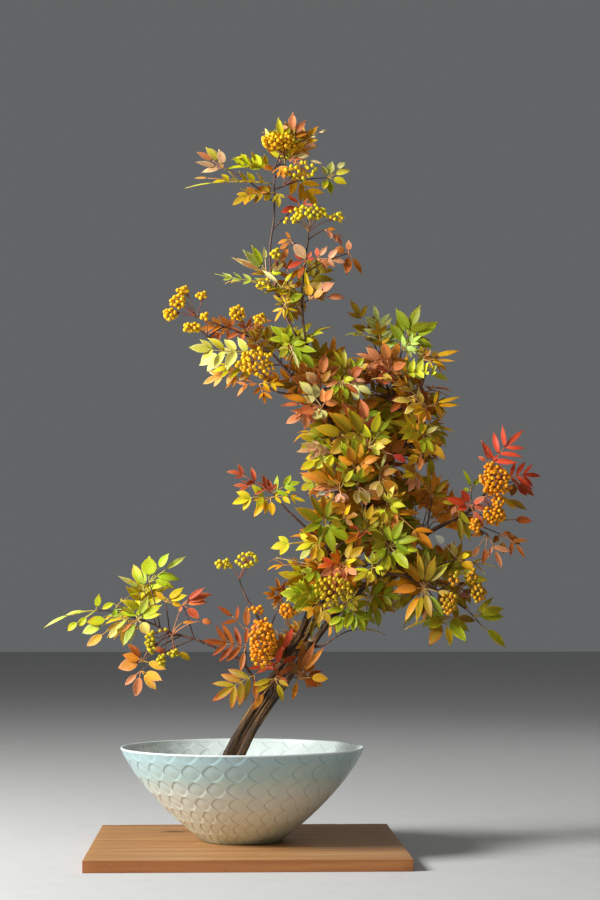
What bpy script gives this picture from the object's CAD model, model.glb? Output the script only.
"""The looks of an ikebana arrangement: three rowan branches in autumn leaf, held by a pin holder in
a wide celadon bowl of water, on a wooden board. Metres, +Z up, front towards -Y."""

import functools
import math
import random

import bpy
import numpy as np
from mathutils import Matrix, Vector, noise


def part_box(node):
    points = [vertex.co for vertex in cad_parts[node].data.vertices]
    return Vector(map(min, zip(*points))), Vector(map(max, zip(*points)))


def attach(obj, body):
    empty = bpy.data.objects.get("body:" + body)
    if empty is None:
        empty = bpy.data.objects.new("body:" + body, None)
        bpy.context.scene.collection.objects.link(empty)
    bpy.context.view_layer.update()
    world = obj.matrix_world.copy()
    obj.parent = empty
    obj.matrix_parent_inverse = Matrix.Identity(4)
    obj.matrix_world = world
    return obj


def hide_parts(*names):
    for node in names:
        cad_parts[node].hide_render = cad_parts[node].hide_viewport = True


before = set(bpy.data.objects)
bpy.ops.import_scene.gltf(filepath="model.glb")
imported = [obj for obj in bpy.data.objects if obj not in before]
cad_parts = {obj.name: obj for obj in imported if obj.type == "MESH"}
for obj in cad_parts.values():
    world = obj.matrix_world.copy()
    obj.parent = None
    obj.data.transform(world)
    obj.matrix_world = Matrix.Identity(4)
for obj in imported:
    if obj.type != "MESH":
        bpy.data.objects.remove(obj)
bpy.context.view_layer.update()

CM = 0.01
MM = 0.001

# The bowl's driving dimensions, as in the frame.
RIM_RADIUS = 0.200
BOWL_HEIGHT = 0.151
FOOT_RADIUS = 0.064
BELLY = (0.167, 0.080)
WALL = 4.5 * MM
FLOOR_RADIUS = 0.064
FLOOR_HEIGHT = 0.010
INNER_BELLY = (0.1605, 0.0845)
FOOT_RECESS = (0.052, 0.003)
WATER_DEPTH = 0.052
BOWL_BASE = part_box("bowl")[0].z
BOARD_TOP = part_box("display_board")[1].z

# The carved scales: how many stand side by side, their height along the wall at the rim and how
# little it shrinks with the wall's radius, the bulge of their sides, their reach from middle to
# corner, their depths, how fast the depth fades inwards, and the part of a scale that they are
# turned by.
SCALES_AROUND = 32
SCALE_HEIGHT = 34 * MM
SCALE_SHRINK = 0.15
SCALE_ROUNDNESS = 1.38
SCALE_REACH = 0.475
SCALE_DEPTH_OUTSIDE = 0.9 * MM
SCALE_DEPTH_INSIDE = 0.5 * MM
SCALE_FADE = 0.30
SCALE_TURN = 0.34

# Turned pieces: how many steps round, and how near two points are to be one.
BOWL_STEPS = 640
WATER_STEPS = 128
MERGE_GAP = 0.02 * MM

# Dark streaks in the board's top: middle, half length and half breadth, and strength.
BOARD_STREAKS = [
    ((-0.112, 0.135), 0.036, 0.016, 0.75),
    ((-0.205, 0.055), 0.050, 0.004, 0.25),
    ((0.190, -0.120), 0.060, 0.003, 0.20),
]

# Angles past which a shaded edge stays sharp.
CREASE = math.radians(40)
BARK_CREASE = math.radians(60)
RIM_CREASE = math.radians(110)

# The pins: their spacing, their radius at the foot and the tip, and the margin round them.
PIN_PITCH = 4.6 * MM
PIN_RADIUS = 0.7 * MM
PIN_TIP_RADIUS = 0.05 * MM
PIN_MARGIN = 3 * MM

# Rowan leaves and fruit: the rows of faces along a leaflet, whose ends make its teeth, and its
# thickness for its length.
LEAFLET_ROWS = 9
LEAFLET_THICKNESS = 0.012
STALK_RADIUS = 0.9 * MM
SHOOT_RADIUS = 1.1 * MM
BERRY_RADIUS = 3.6 * MM
GOLDEN_TURN = math.pi * (3 - math.sqrt(5))
SHOOT_COLOUR = "#6a4030"
INNER_SHOOT_COLOUR = "#5a3a28"
STALK_COLOUR = "#c98f5c"
RAY_COLOURS = ["#a4583f", "#8f4a35", "#a0703c"]

LEAF_COLOURS = {
    "lime": "#c4c118", "green": "#7a8f0a", "olive": "#92820a", "pale": "#c2c458", "gold": "#dcaa0a",
    "amber": "#cf820a", "salmon": "#d07640", "pink": "#d99874", "cream": "#e2d08c", "red": "#a63620",
    "scarlet": "#cc4020", "russet": "#98500c", "brown": "#5e4008", "fresh": "#a9c61c", "sage": "#9fb24e",
    "crimson": "#8c0f1c", "white": "#e6e2d6",
}

# Branches as they grow: each line is (x, y, z, radius) in centimetres, main stem first.
STEMS = {
  "left_stem": [
    [(-5.2, -0.4, 4.3, 0.8), (-4.8, -0.4, 8, 0.8), (-3.9, -0.5, 12, 0.78), (-2.4, -0.6, 16, 0.75),
     (-0.3, -0.7, 20, 0.72), (1.7, -0.8, 23.3, 0.7), (4, -1, 27, 0.68), (6.6, -1.2, 31, 0.66),
     (9.3, -1.4, 35.5, 0.64), (11.6, -1.5, 41, 0.6), (13.4, -1.6, 47, 0.56), (14.6, -1.6, 53, 0.52),
     (15.4, -1.5, 60, 0.48), (15.3, -1.3, 66, 0.43), (14.3, -1, 71.5, 0.38), (12.6, -0.7, 75, 0.33),
     (11.5, -0.5, 79, 0.28), (10.6, -0.4, 83.5, 0.24), (9.9, -0.3, 88, 0.22), (9.8, -0.2, 93, 0.2),
     (10.3, -0.1, 98, 0.18), (10.8, 0, 101.5, 0.15)],
    [(11.9, -0.6, 77.6, 0.26), (9.8, -0.1, 83, 0.24), (8.1, 0.3, 86.5, 0.23), (6.6, 0.5, 89.8, 0.21),
     (5.4, 0.5, 93.5, 0.2), (4.4, 0.4, 97.5, 0.18), (4.5, 0.2, 101, 0.17), (5.1, 0, 105.5, 0.16),
     (5.1, 0, 110, 0.15), (5.3, 0, 114, 0.14), (6.2, 0, 116.3, 0.12)],
    [(14.2, -0.9, 72, 0.31), (12, 0.3, 74.8, 0.29), (9.6, 1.2, 77, 0.27), (7, 1.6, 79.9, 0.24),
     (4.8, 1.7, 82.4, 0.21), (2.2, 1.5, 84.2, 0.18), (-0.4, 1.2, 85.8, 0.16), (-4.2, 1.2, 87.2, 0.13),
     (-7.4, 1.1, 88.4, 0.1)],
    [(13.7, -1, 73, 0.28), (11, -2, 74.1, 0.24), (8.3, -2.6, 75, 0.21), (5.8, -2.8, 75.4, 0.17),
     (4.1, -2.8, 76.2, 0.13)],
    [(14.2, -1.6, 50.5, 0.28), (11.5, -2.4, 52, 0.24), (9, -2.8, 54.2, 0.21), (6.9, -3, 56.2, 0.17),
     (5.7, -3, 57.7, 0.13)],
    [(1.2, -0.9, 22.5, 0.27), (2.1, -2, 25.2, 0.25), (1.9, -2.7, 27.8, 0.25), (0.5, -3, 30.2, 0.24),
     (-1.2, -3.1, 31.9, 0.24), (-4.5, -3.1, 33.4, 0.23), (-8, -2.9, 34.8, 0.21), (-12, -2.5, 35.9, 0.19),
     (-15, -2.1, 37.3, 0.16), (-18.3, -1.9, 38.4, 0.13)],
    [(6.6, -1.3, 31, 0.22), (4.6, -2.7, 34.6, 0.2), (2.6, -3.3, 38, 0.18), (1, -3.4, 40.7, 0.16),
     (0, -3.4, 42.6, 0.14), (-0.6, -3.3, 44.3, 0.11)],
  ],
  "middle_stem": [
    [(-4, 1.1, 4.3, 0.75), (-3.6, 1.2, 8, 0.75), (-2.8, 1.3, 12, 0.73), (-1.4, 1.4, 16, 0.72),
     (0.8, 1.6, 20, 0.7), (3.3, 1.8, 24, 0.68), (6.2, 2, 28.3, 0.66), (8.9, 2.2, 32.8, 0.64),
     (11.6, 2.5, 37, 0.62), (14.4, 2.8, 42, 0.58), (17.3, 3.1, 47.5, 0.54), (19.7, 3.2, 53, 0.5),
     (21.5, 3.2, 59, 0.46), (23, 3, 65, 0.42), (24.3, 2.6, 70.5, 0.36), (25, 2.2, 75, 0.3),
     (25.9, 1.9, 79.5, 0.24), (26.5, 1.7, 82.6, 0.16)],
    [(24.9, 2.3, 74.5, 0.22), (23.9, 3.2, 78.5, 0.2), (22.8, 3.6, 82.5, 0.16), (21.8, 3.6, 85.4, 0.12)],
    [(24.5, 2.5, 71.5, 0.27), (27, 1.6, 73.6, 0.23), (29.5, 0.9, 76.5, 0.18), (31, 0.6, 80, 0.12)],
    [(23.2, 2.9, 66, 0.28), (26, 2, 68, 0.24), (29, 1.2, 69.3, 0.18), (31.3, 0.7, 70, 0.12)],
  ],
  "right_stem": [
    [(-2.6, -0.9, 4.3, 0.72), (-2.3, -0.9, 8, 0.72), (-1.6, -1, 12, 0.7), (-0.2, -1.1, 16, 0.68),
     (1.8, -1.3, 20, 0.66), (4.5, -1.7, 24.2, 0.64), (7.5, -2.4, 28.5, 0.62), (10.7, -3, 33, 0.6),
     (13.7, -3.4, 37.2, 0.57), (17.3, -3.5, 41, 0.53), (21.5, -3.4, 44.8, 0.49), (26, -3, 48.5, 0.44),
     (30.3, -2.4, 52, 0.38), (34.5, -1.7, 54.3, 0.31), (38, -1, 56.2, 0.26), (40.5, -0.6, 59.5, 0.2),
     (41.3, -0.4, 63.3, 0.14)],
    [(22, -3.4, 45.2, 0.34), (26, -4.1, 45.2, 0.29), (30, -4.4, 43.6, 0.24), (33.6, -4.4, 41.6, 0.19),
     (36.4, -4.2, 39.7, 0.13)],
    [(11, -3, 33.4, 0.26), (12.9, -3.5, 33.7, 0.22), (14.8, -3.8, 34.9, 0.14)],
    [(10.2, -2.9, 32.4, 0.38), (10.9, -4.3, 34.6, 0.36)],
  ],
}

# Leaves by spray. Each spray has its material slot and its shoots; a shoot is where its leaves part,
# in centimetres, and the leaves. A leaf is its tip in centimetres, its blade and edge colours, the lift
# of its face from upright and the raise of its leaflets in degrees, the bow of its midrib in
# centimetres, its pairs of leaflets, their length in centimetres and their width for their length.
# A leaf of one or three leaflets gives no more than their pairs, if any, length and width.
PLAIN_LEAVES = {0: (20, 4, 0.10), 1: (20, -25, 0.12)}
SPRAYS = {
  "crown_top_leaves": ("leaf_amber", [
    ((8, 0.6, 118.8), [(8.2, 0.2, 123.5, "salmon pink", 3.4, 0.42),
      (10.5, 0, 122.3, "salmon pink", 3.2, 0.37), (11, 0.4, 120.5, "amber salmon", 2.8, 0.42),
      (6.2, 0.8, 121.7, "salmon pink", 2.6, 0.42), (6.2, 0.4, 120.6, "salmon amber", 1.8, 0.58),
      (11.2, 1, 118.6, "pink cream", 2.6, 0.23)]),
    ((4.2, 1.4, 118.4), [(6.2, 1.4, 121.5, "pale cream", 25, 5, 0.2, 1, 2.8, 0.3)]),
    ((7.6, 0.6, 115.6), [(14.1, 1.4, 120.9, "cream pink", 60, 10, 0.5, 4, 1.1, 0.3),
      (10.4, -0.8, 118, "gold amber", 2.4, 0.58), (12.3, -0.4, 118.1, "pink salmon", 2.5, 0.39),
      (10.9, -1.2, 115.8, "cream pink", 2.2, 0.51), (13.3, -0.6, 114.5, "cream pink", 2.2, 0.26),
      (9, -1.6, 116.7, "gold amber", 2, 0.7), (9.6, -1, 113.9, "salmon pink", 40, 10, 0.3, 2, 2, 0.34)]),
    ((5.4, 0.2, 113.8), [(6.8, -2.2, 111.6, "amber salmon", 30, 10, 0.2, 2, 2.4, 0.36),
      (3.3, -1.4, 113.3, "amber salmon", 1.9, 0.81)])]),
  "crown_left_leaves": ("leaf_gold", [
    ((4.8, 0.8, 113.8), [(-3.4, 1, 114, "lime fresh", 60, 42, 0.1, 5, 3.2, 0.46),
      (-2.2, 2, 116, "lime gold", 50, 30, 0.2, 3, 2.4, 0.5)]),
    ((-3.4, 0.8, 113.8), [(-4.2, 0.4, 117.1, "pink cream", 3.1, 0.53),
      (-6.4, 0.4, 117.5, "lime pink", 3.3, 0.46), (-8, 0.2, 116.5, "salmon pink", 3.1, 0.37),
      (-8.3, 0, 114.6, "pink cream", 3.6, 0.29), (-7.2, -0.2, 113, "pink cream", 3.2, 0.35)]),
    ((4.9, 0.2, 111.1), [(-5.4, -0.6, 111.2, "lime gold", 62, 44, 0.1, 5, 2.4, 0.56),
      (-10, -0.6, 110.3, "lime cream", 60, 0, 0.5, 0, 4.8, 0.1),
      (-8.4, -0.4, 111.9, "amber cream", 2.3, 0.21)])]),
  "crown_lower_leaves": ("leaf_lime", [
    ((14.2, -0.2, 112.1), [(13, -0.8, 114, "green cream", 2.2, 0.53),
      (14.9, -0.8, 114.8, "green cream", 2.5, 0.58), (17.2, -0.4, 115, "cream pale", 2, 0.49),
      (18.2, -0.6, 113.7, "lime pink", 3, 0.42), (17.4, -0.8, 110.9, "lime amber", 2.6, 0.53),
      (14.6, -1, 109, "green lime", 2.6, 0.53), (13.3, -1.2, 109.8, "green gold", 2.1, 0.53)]),
    ((5.6, -0.6, 109.3), [(-2.2, -1.6, 107, "olive amber", 32, 5, 0.8, 4, 3, 0.42),
      (-1.8, 1.2, 108.4, "amber salmon", 56, 30, 0.7, 4, 2.4, 0.42),
      (5.8, -2, 106.6, "olive gold", 30, 5, 0.3, 1, 2.6, 0.36)])]),
  "upper_leaves": ("leaf_salmon", [
    ((17.6, -0.4, 99.2), [(17.2, -1, 95.4, "russet salmon", 3.3, 0.49),
      (20.1, -0.6, 95.7, "russet amber", 3.2, 0.32), (15, -0.8, 99.8, "russet salmon", 2, 0.74),
      (17.6, -0.8, 101.4, "salmon pink", 1.8, 0.58)]),
    ((13.6, 0, 103.2), [(15.5, -0.2, 103.4, "amber salmon", 1.4, 0.58),
      (16.9, -0.2, 100.6, "salmon pink", 40, 5, 0.4, 2, 2.4, 0.34)]),
    ((7.9, -0.4, 101.2), [(5.5, -0.8, 100.8, "amber salmon", 20, 4, 0.5, 0, 2.4, 0.34),
      (7, -0.6, 102.8, "amber salmon", 1.8, 0.42), (10.5, -1.2, 98, "pink cream", 3.6, 0.58),
      (6.2, -1, 97.3, "salmon amber", 3, 0.35), (5.9, -1, 99.6, "salmon amber", 2, 0.42)]),
    ((10.5, -0.8, 97.8), [(8.4, -1.2, 98.8, "red scarlet", 2, 0.46),
      (7.1, -1.4, 96.5, "red scarlet", 2.9, 0.37), (11.4, -1, 99.4, "red salmon", 1.5, 0.49),
      (11.9, -1.2, 98.2, "scarlet red", 1.4, 0.51), (9, -1.4, 94.4, "red amber", 2.8, 0.3)]),
    ((12.3, -1.2, 98), [(17.1, -1.6, 97.4, "pink salmon", 20, 6, 0.3, 1, 2.3, 0.44),
      (14, -1.4, 100.2, "pink salmon", 2.1, 0.42), (12.2, -1.2, 100.2, "scarlet pink", 1.8, 0.44),
      (14.9, -1.8, 96.9, "salmon pink", 2.6, 0.42), (14.2, -1.9, 96.2, "salmon pink", 2.4, 0.46)]),
    ((9.4, -0.2, 107.2), [(6.1, -0.6, 105.9, "red scarlet", 3.2, 0.49),
      (7.1, -0.4, 109.1, "scarlet red", 20, 4, 0.4, 0, 2.6, 0.34),
      (13, 0.2, 108, "red pink", 60, 10, 0.2, 1, 2.6, 0.22)])]),
  "neck_left_leaves": ("leaf_olive", [
    ((3.8, 0.4, 95.8), [(-2, 0.2, 98.6, "russet cream", 5, 0.23),
      (-0.2, 0.4, 99.8, "green cream", 4.4, 0.37), (1.3, 0.4, 100.7, "green lime", 3.9, 0.32),
      (3.4, 0, 100.2, "cream pale", 2, 0.42), (6.9, -0.8, 97.4, "brown olive", 2.7, 0.58),
      (6.2, -1, 95.8, "lime green", 1.8, 0.58)]),
    ((6.4, -0.6, 93.2), [(3, -1, 96.5, "cream cream", 4, 0.21), (8.1, -1.2, 96, "lime gold", 2.2, 0.28),
      (9.2, -1, 93.6, "olive salmon", 30, 8, 0.3, 2, 2.4, 0.36)]),
    ((4.6, 0.6, 94.3), [(-4.9, 0.6, 95.7, "fresh cream", 60, 12, -0.2, 4, 2.6, 0.36),
      (-3.3, 0.2, 94.6, "gold cream", 80, 12, -0.1, 2, 2, 0.3),
      (1.6, 3, 97.4, "olive amber", 50, 10, 0.3, 2, 2.8, 0.3)])]),
  "neck_right_leaves": ("leaf_salmon", [
    ((11, -1, 91.2), [(15.1, -1.8, 94, "pink salmon", 3, 0.58),
      (17.1, -1.6, 91.8, "salmon pink", 3, 0.42), (13, -1.4, 94.2, "olive pink", 2.7, 0.72),
      (13.4, -2, 92.4, "amber pink", 2, 0.7), (10.8, -1.8, 93.8, "gold salmon", 2.1, 0.7),
      (14.2, -0.8, 92.9, "olive salmon", 20, 5, 0.2, 1, 2.2, 0.5),
      (10.2, -1.4, 96.3, "gold lime", 20, 5, -0.6, 0, 4, 0.2)]),
    ((6.9, -1.2, 90.2), [(5, -1.8, 87.3, "gold amber", 25, 5, 0, 1, 2.6, 0.22),
      (8.6, -1.8, 87.2, "gold lime", 25, 5, 0, 1, 2.6, 0.22),
      (7.8, -1.8, 93, "gold olive", 25, 5, 0, 1, 2.6, 0.22),
      (4.9, -1.2, 92, "olive gold", 30, 5, 0, 1, 2.4, 0.26), (9.8, -2.2, 92.3, "green lime", 2.8, 0.51)])]),
  "left_orange_leaves": ("leaf_salmon", [
    ((-1.7, 2.6, 86.6), [(-8, 3, 86.6, "amber salmon", 52, 12, 0.7, 3, 2.8, 0.34),
      (-4.3, 1.6, 88.8, "salmon amber", 25, 5, 0.2, 1, 2.8, 0.42),
      (-6, 0.4, 84.4, "salmon pink", 40, 5, 0.4, 2, 2.6, 0.34)]),
    ((0.6, 2.6, 86.2), [(5, 2.6, 88.8, "salmon amber", 60, 10, 0.3, 3, 2.6, 0.3),
      (-1.4, 2, 89.4, "amber salmon", 50, 10, 0.3, 1, 2.8, 0.34),
      (-2.6, -0.2, 85, "salmon red", 30, 5, 0.2, 1, 2.6, 0.38)])]),
  "left_green_leaf": ("leaf_olive", [
    ((2.6, -1.4, 82.4), [(-9.2, -2.6, 82.9, "lime cream", 12, 2, -0.3, 4, 3.7, 0.42),
      (-7.9, 1.4, 80.6, "pale cream", 30, 4, 0.3, 3, 3.4, 0.4),
      (1.2, -2.6, 86, "olive salmon", 25, 5, 0.2, 2, 3, 0.36)])]),
  "left_lower_leaf": ("leaf_amber", [
    ((2.4, 1.2, 79.6), [(-7, 1.6, 77.2, "amber cream", 38, 5, 0.6, 3, 3.4, 0.36),
      (-5.4, -0.6, 79.4, "lime amber", 30, 5, 0.4, 3, 3, 0.36),
      (-3.4, 3.4, 76.9, "amber salmon", 45, 8, 0.3, 2, 2.8, 0.34)])]),
  "left_hanging_leaves": ("leaf_salmon", [
    ((2.6, -3.8, 76.6), [(-1.4, -4.6, 74.4, "salmon amber", 55, 12, 0.9, 2, 2.6, 0.3),
      (3.7, -5, 73.2, "amber russet", 25, 8, 0.1, 2, 2.9, 0.3),
      (6.9, -4.6, 76.4, "gold amber", 35, 5, 0.3, 2, 2.4, 0.34)])]),
  "shoulder_green_leaves": ("leaf_lime", [
    ((7.8, -2.4, 83.1), [(6.3, -3, 85.5, "lime green", 1, 2.2, 0.58),
      (10.1, -3.4, 83.8, "green lime", 1, 2.3, 0.5), (12.2, -3.8, 82, "green lime", 1, 3.8, 0.34),
      (11.9, -3.4, 79.5, "green olive", 1, 3.3, 0.46), (5.8, -3, 81, "olive green", 1, 2.3, 0.52),
      (9.2, -3.6, 79, "cream pale", 1, 4.4, 0.16),
      (4.4, -1.8, 87, "green lime", 20, 5, 0.2, 1, 3.2, 0.4),
      (8, -1, 86.4, "green olive", 20, 5, 0.2, 1, 3, 0.4),
      (11, 2.4, 85.4, "green olive", 40, 5, 0.4, 2, 3, 0.4)])]),
  "shoulder_salmon_leaf": ("leaf_salmon", [
    ((13, -2.8, 72.9), [(6.3, -4.4, 75.1, "amber russet", 1, 4.4, 0.32),
      (5.9, -4, 73.5, "salmon red", 1, 3.3, 0.26), (6.8, -4.4, 70.2, "salmon pink", 1, 3.2, 0.42),
      (9.2, -5, 71.6, "salmon red", 1, 2.9, 0.8), (11.5, -5.2, 70.6, "cream lime", 1, 2.4, 0.8),
      (9.3, -4.4, 77.2, "cream lime", 1, 3.2, 0.48), (14.8, -4.6, 75.9, "salmon amber", 1, 2.6, 0.55),
      (13.6, -1.6, 70, "salmon red", 24, 4, 0.3, 1, 3, 0.44)]),
    ((12.8, -1.6, 76.2), [(8.6, -3.2, 80.1, "russet amber", 1, 2.3, 0.8),
      (13.4, -3.4, 81.9, "russet salmon", 1, 3.6, 0.46),
      (10.5, -3.8, 78.6, "salmon cream", 1, 2.6, 0.62),
      (7.6, -3.4, 77.8, "russet salmon", 1, 2.9, 0.62), (5.6, -2.8, 76.6, "brown olive", 1, 2.8, 0.56),
      (14.2, -3.6, 79, "russet olive", 1, 2.5, 0.44),
      (6.4, -1, 75.2, "russet amber", 40, 8, 0.5, 2, 3.6, 0.36),
      (11.4, -0.6, 80, "olive cream", 24, 4, 0.3, 2, 3.4, 0.42)])]),
  "upright_green_leaves": ("leaf_lime", [
    ((17, 0.4, 77.6), [(15.2, -0.6, 83.1, "lime amber", 1, 3.4, 0.28),
      (16.8, -0.8, 83, "olive lime", 1, 3.4, 0.28), (13.4, -1.4, 81.5, "gold lime", 1, 2.6, 0.38),
      (13.4, -2.2, 79.2, "amber salmon", 1, 2.3, 0.55), (20.1, -1.4, 81.4, "green lime", 1, 2, 0.48),
      (20.9, -1.8, 80.4, "olive amber", 1, 2.3, 0.52), (19.5, -2.6, 79.5, "russet red", 1, 2.4, 0.74),
      (16, 1, 83.6, "lime amber", 30, 10, 0.2, 2, 3.3, 0.26),
      (20.4, 1.6, 82, "lime amber", 30, 8, 0.2, 2, 2.8, 0.3),
      (12.9, 2.4, 82.2, "amber salmon", 22, 5, 0.3, 2, 3.4, 0.4),
      (17.8, 5, 80.6, "olive amber", 40, 8, 0.4, 3, 3.2, 0.36)]),
    ((16.2, -2.2, 77.3), [(14.3, -2.8, 78.3, "lime gold", 1, 1.9, 0.42),
      (13.6, -3.6, 76.3, "salmon pink", 1, 2.2, 0.3), (14.8, -4, 74.8, "green olive", 1, 2, 0.5),
      (15.9, -4.2, 74.2, "amber olive", 1, 2.3, 0.46), (17.2, -4, 74.3, "green lime", 1, 2.2, 0.45),
      (18.9, -3.8, 75, "russet red", 1, 2.8, 0.34), (18.2, -3.4, 77.8, "lime green", 1, 1.6, 0.6),
      (20.4, -3.2, 77.4, "pink salmon", 1, 1.9, 0.42), (21.4, -3.8, 75.2, "cream lime", 1, 2.9, 0.48)])]),
  "top_right_tall_leaves": ("leaf_lime", [
    ((23.4, 3.6, 83.6), [(18.3, 3.4, 92.3, "olive russet", 50, 20, -0.5, 3, 3.4, 0.34),
      (22.2, 4.6, 91.4, "sage cream", 52, 15, 0.5, 4, 3.4, 0.28),
      (17, 2.6, 86.4, "sage gold", 66, 20, 0.7, 4, 2.7, 0.28),
      (22.4, 1.8, 88.4, "gold olive", 30, 8, 0.2, 2, 2.6, 0.38),
      (26.6, 4.4, 86.6, "sage fresh", 40, 10, 0.5, 3, 3.2, 0.32)])]),
  "top_right_fan_leaves": ("leaf_olive", [
    ((26.8, 2.4, 83.4), [(29.9, 1.4, 90.9, "green olive", 8, 4, 0.2, 2, 4.9, 0.36),
      (33, 1.8, 88.4, "green lime", 14, 4, 0.2, 1, 4.6, 0.4),
      (26.3, 3, 90, "green olive", 14, 4, 0.2, 0, 4.8, 0.34)]),
    ((26.8, 1.2, 83), [(30.9, 0.4, 82.6, "sage cream", 34, 12, 0.5, 3, 3.2, 0.34),
      (30, 0, 85.4, "sage fresh", 30, 8, 0.3, 2, 3.2, 0.34)])]),
  "top_right_salmon_leaf": ("leaf_salmon", [
    ((24.4, 0, 79.4), [(18.9, -1.6, 82.5, "salmon pink", 1, 3.4, 0.3),
      (20.5, -1.8, 83.2, "salmon pink", 1, 3.3, 0.45), (23.4, -1.4, 84.2, "salmon amber", 1, 3.2, 0.54),
      (26.1, -0.4, 84.5, "russet amber", 1, 3.4, 0.42), (23.4, -2.4, 76.8, "red salmon", 1, 2.4, 0.6),
      (21.9, -2, 79.9, "red salmon", 1, 2.1, 0.5), (27.2, -1, 80.6, "russet salmon", 1, 2.6, 0.6),
      (20.2, 0.6, 78.6, "russet salmon", 30, 4, 0.2, 2, 3, 0.4),
      (22, 0.2, 77.2, "salmon red", 24, 4, 0.2, 2, 3.2, 0.42),
      (23.6, 5.4, 80.6, "amber salmon", 40, 8, 0.3, 2, 3.2, 0.4)])]),
  "far_right_upper_leaves": ("leaf_lime", [
    ((30.2, 0.2, 81.3), [(36.3, -0.6, 83, "gold amber", 1, 4.4, 0.2),
      (35.6, -0.4, 81, "amber gold", 1, 3.2, 0.14), (34.1, -0.8, 80.2, "gold amber", 1, 2.8, 0.16),
      (31.4, -0.8, 82.9, "russet olive", 1, 1.5, 0.6),
      (29.6, -0.2, 83.8, "olive amber", 24, 5, 0.2, 2, 2.6, 0.38)]),
    ((26.8, 0.2, 78.9), [(34.4, -1.2, 78, "lime pale", 34, 60, 0.5, 4, 2.9, 0.4),
      (32, 1.4, 80.4, "pale lime", 30, 10, 0.4, 2, 2.8, 0.36)])]),
  "right_cream_leaves": ("leaf_gold", [
    ((30.6, -0.8, 73.3), [(21.2, -2.2, 78.4, "gold cream", 58, 18, 1.1, 4, 3.2, 0.3),
      (36.4, -0.4, 75.1, "gold amber", 1, 4.2, 0.15), (36.1, -0.8, 73.6, "amber gold", 1, 3.7, 0.18),
      (27.9, -3.2, 75, "gold cream", 1, 2.4, 0.44), (24.8, -3.4, 74.5, "gold cream", 1, 3.2, 0.36),
      (28.2, -3.4, 71.8, "gold amber", 1, 2.4, 0.5), (29.2, -1.8, 69.8, "amber salmon", 1, 3, 0.44)]),
    ((31, 0.2, 70.5), [(35.4, -0.4, 69.2, "olive amber", 1, 4, 0.16),
      (33.1, -0.8, 69.3, "olive cream", 1, 2.2, 0.34), (29.1, -1.6, 68.4, "gold lime", 1, 2.6, 0.32)]),
    ((28.8, 0.6, 75.8), [(31.2, 0.8, 75.2, "russet red", 1, 2.4, 0.76),
      (31.8, 0.2, 72.2, "russet amber", 1, 2.4, 0.72), (25.3, -1.8, 77.3, "russet amber", 1, 1.9, 0.8),
      (26.4, -2.4, 76.2, "brown russet", 1, 2.1, 0.82), (24.4, -2.2, 72.4, "russet red", 1, 2.4, 0.5),
      (25.2, 4.6, 73.6, "amber russet", 40, 8, 0.3, 3, 3.2, 0.38)])]),
  "centre_high_leaves": ("leaf_olive", [
    ((20.6, -3.4, 66.2), [(11.7, -5.6, 69.8, "olive amber", 1, 4.7, 0.46),
      (14.1, -5.8, 72, "olive amber", 1, 5.2, 0.42), (17.1, -5.4, 72.6, "olive gold", 1, 4.8, 0.44),
      (22.4, -5.6, 71.9, "lime gold", 1, 3.8, 0.4), (24.2, -5.2, 70.8, "green olive", 1, 2.8, 0.26),
      (16.2, -4.8, 73.8, "salmon red", 1, 3.6, 0.4), (19.6, -4.4, 74.4, "salmon red", 1, 3.6, 0.46),
      (23, -6.2, 66.2, "lime pink", 1, 2, 0.66), (24.2, -5.8, 67.2, "olive gold", 1, 2.2, 0.56),
      (26.6, -7.4, 63.9, "crimson red", 2.6, 0.5)]),
    ((18.2, -3.6, 62.6), [(16.1, -5.8, 67.1, "green lime", 1, 4, 0.34),
      (18.2, -6.2, 67.8, "green lime", 1, 3.4, 0.42), (19.7, -6.6, 68.1, "lime olive", 1, 4.2, 0.36),
      (17.2, -6.8, 66, "amber olive", 1, 3.2, 0.56), (19.4, -6, 66.8, "amber olive", 1, 3, 0.56),
      (21.8, -6.6, 64.6, "amber russet", 1, 2.9, 0.5), (15, -6.4, 62.4, "lime pale", 1, 2.2, 0.6)]),
    ((14.8, -3.4, 65.2), [(8.6, -4.8, 65.6, "pink olive", 1, 2.6, 0.36),
      (9.3, -4.6, 66.7, "pink lime", 1, 2.7, 0.46), (11.7, -4.8, 66.5, "pink lime", 1, 1.7, 0.6),
      (9.2, -5.2, 62.4, "lime amber", 1, 3, 0.52), (11.9, -5.2, 62.4, "pale lime", 1, 2.4, 0.44),
      (13.9, -5.6, 62.9, "lime gold", 1, 3, 0.42), (12.8, -3.6, 66.9, "green olive", 1, 2.4, 0.5)]),
    ((20, -1.6, 72.4), [(13.9, -2.8, 74.8, "olive amber", 1, 3.8, 0.4),
      (22.4, -2.6, 68.6, "green olive", 24, 5, 0.3, 2, 3.6, 0.4),
      (20.6, 2.6, 75.4, "amber russet", 30, 8, 0.3, 3, 3.4, 0.38)])]),
  "centre_right_leaves": ("leaf_olive", [
    ((29.9, -1.6, 68.4), [(33.6, -2.2, 64.2, "gold salmon", 1, 3.6, 0.38),
      (31.5, -2.6, 65.4, "lime olive", 1, 2.7, 0.4), (29.7, -2.8, 65.3, "lime green", 1, 2.4, 0.38),
      (32.3, -2.2, 69.9, "olive cream", 1, 2.3, 0.36),
      (24.6, -4.4, 70.6, "lime amber", 30, 8, 0.4, 3, 3.4, 0.36),
      (26.4, -3.6, 69.6, "amber gold", 1, 3, 0.5)]),
    ((29.6, -1.8, 65.1), [(28.2, -3.2, 67.9, "amber gold", 1, 2.7, 0.46),
      (27, -3.4, 63.4, "gold russet", 1, 2.4, 0.5), (29, -3.6, 62.5, "salmon amber", 1, 2.7, 0.42),
      (26.8, -2.2, 66.2, "russet olive", 1, 2.5, 0.4)]),
    ((31.4, -0.8, 58), [(31.8, -1.8, 62.7, "amber russet", 1, 4, 0.28),
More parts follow.
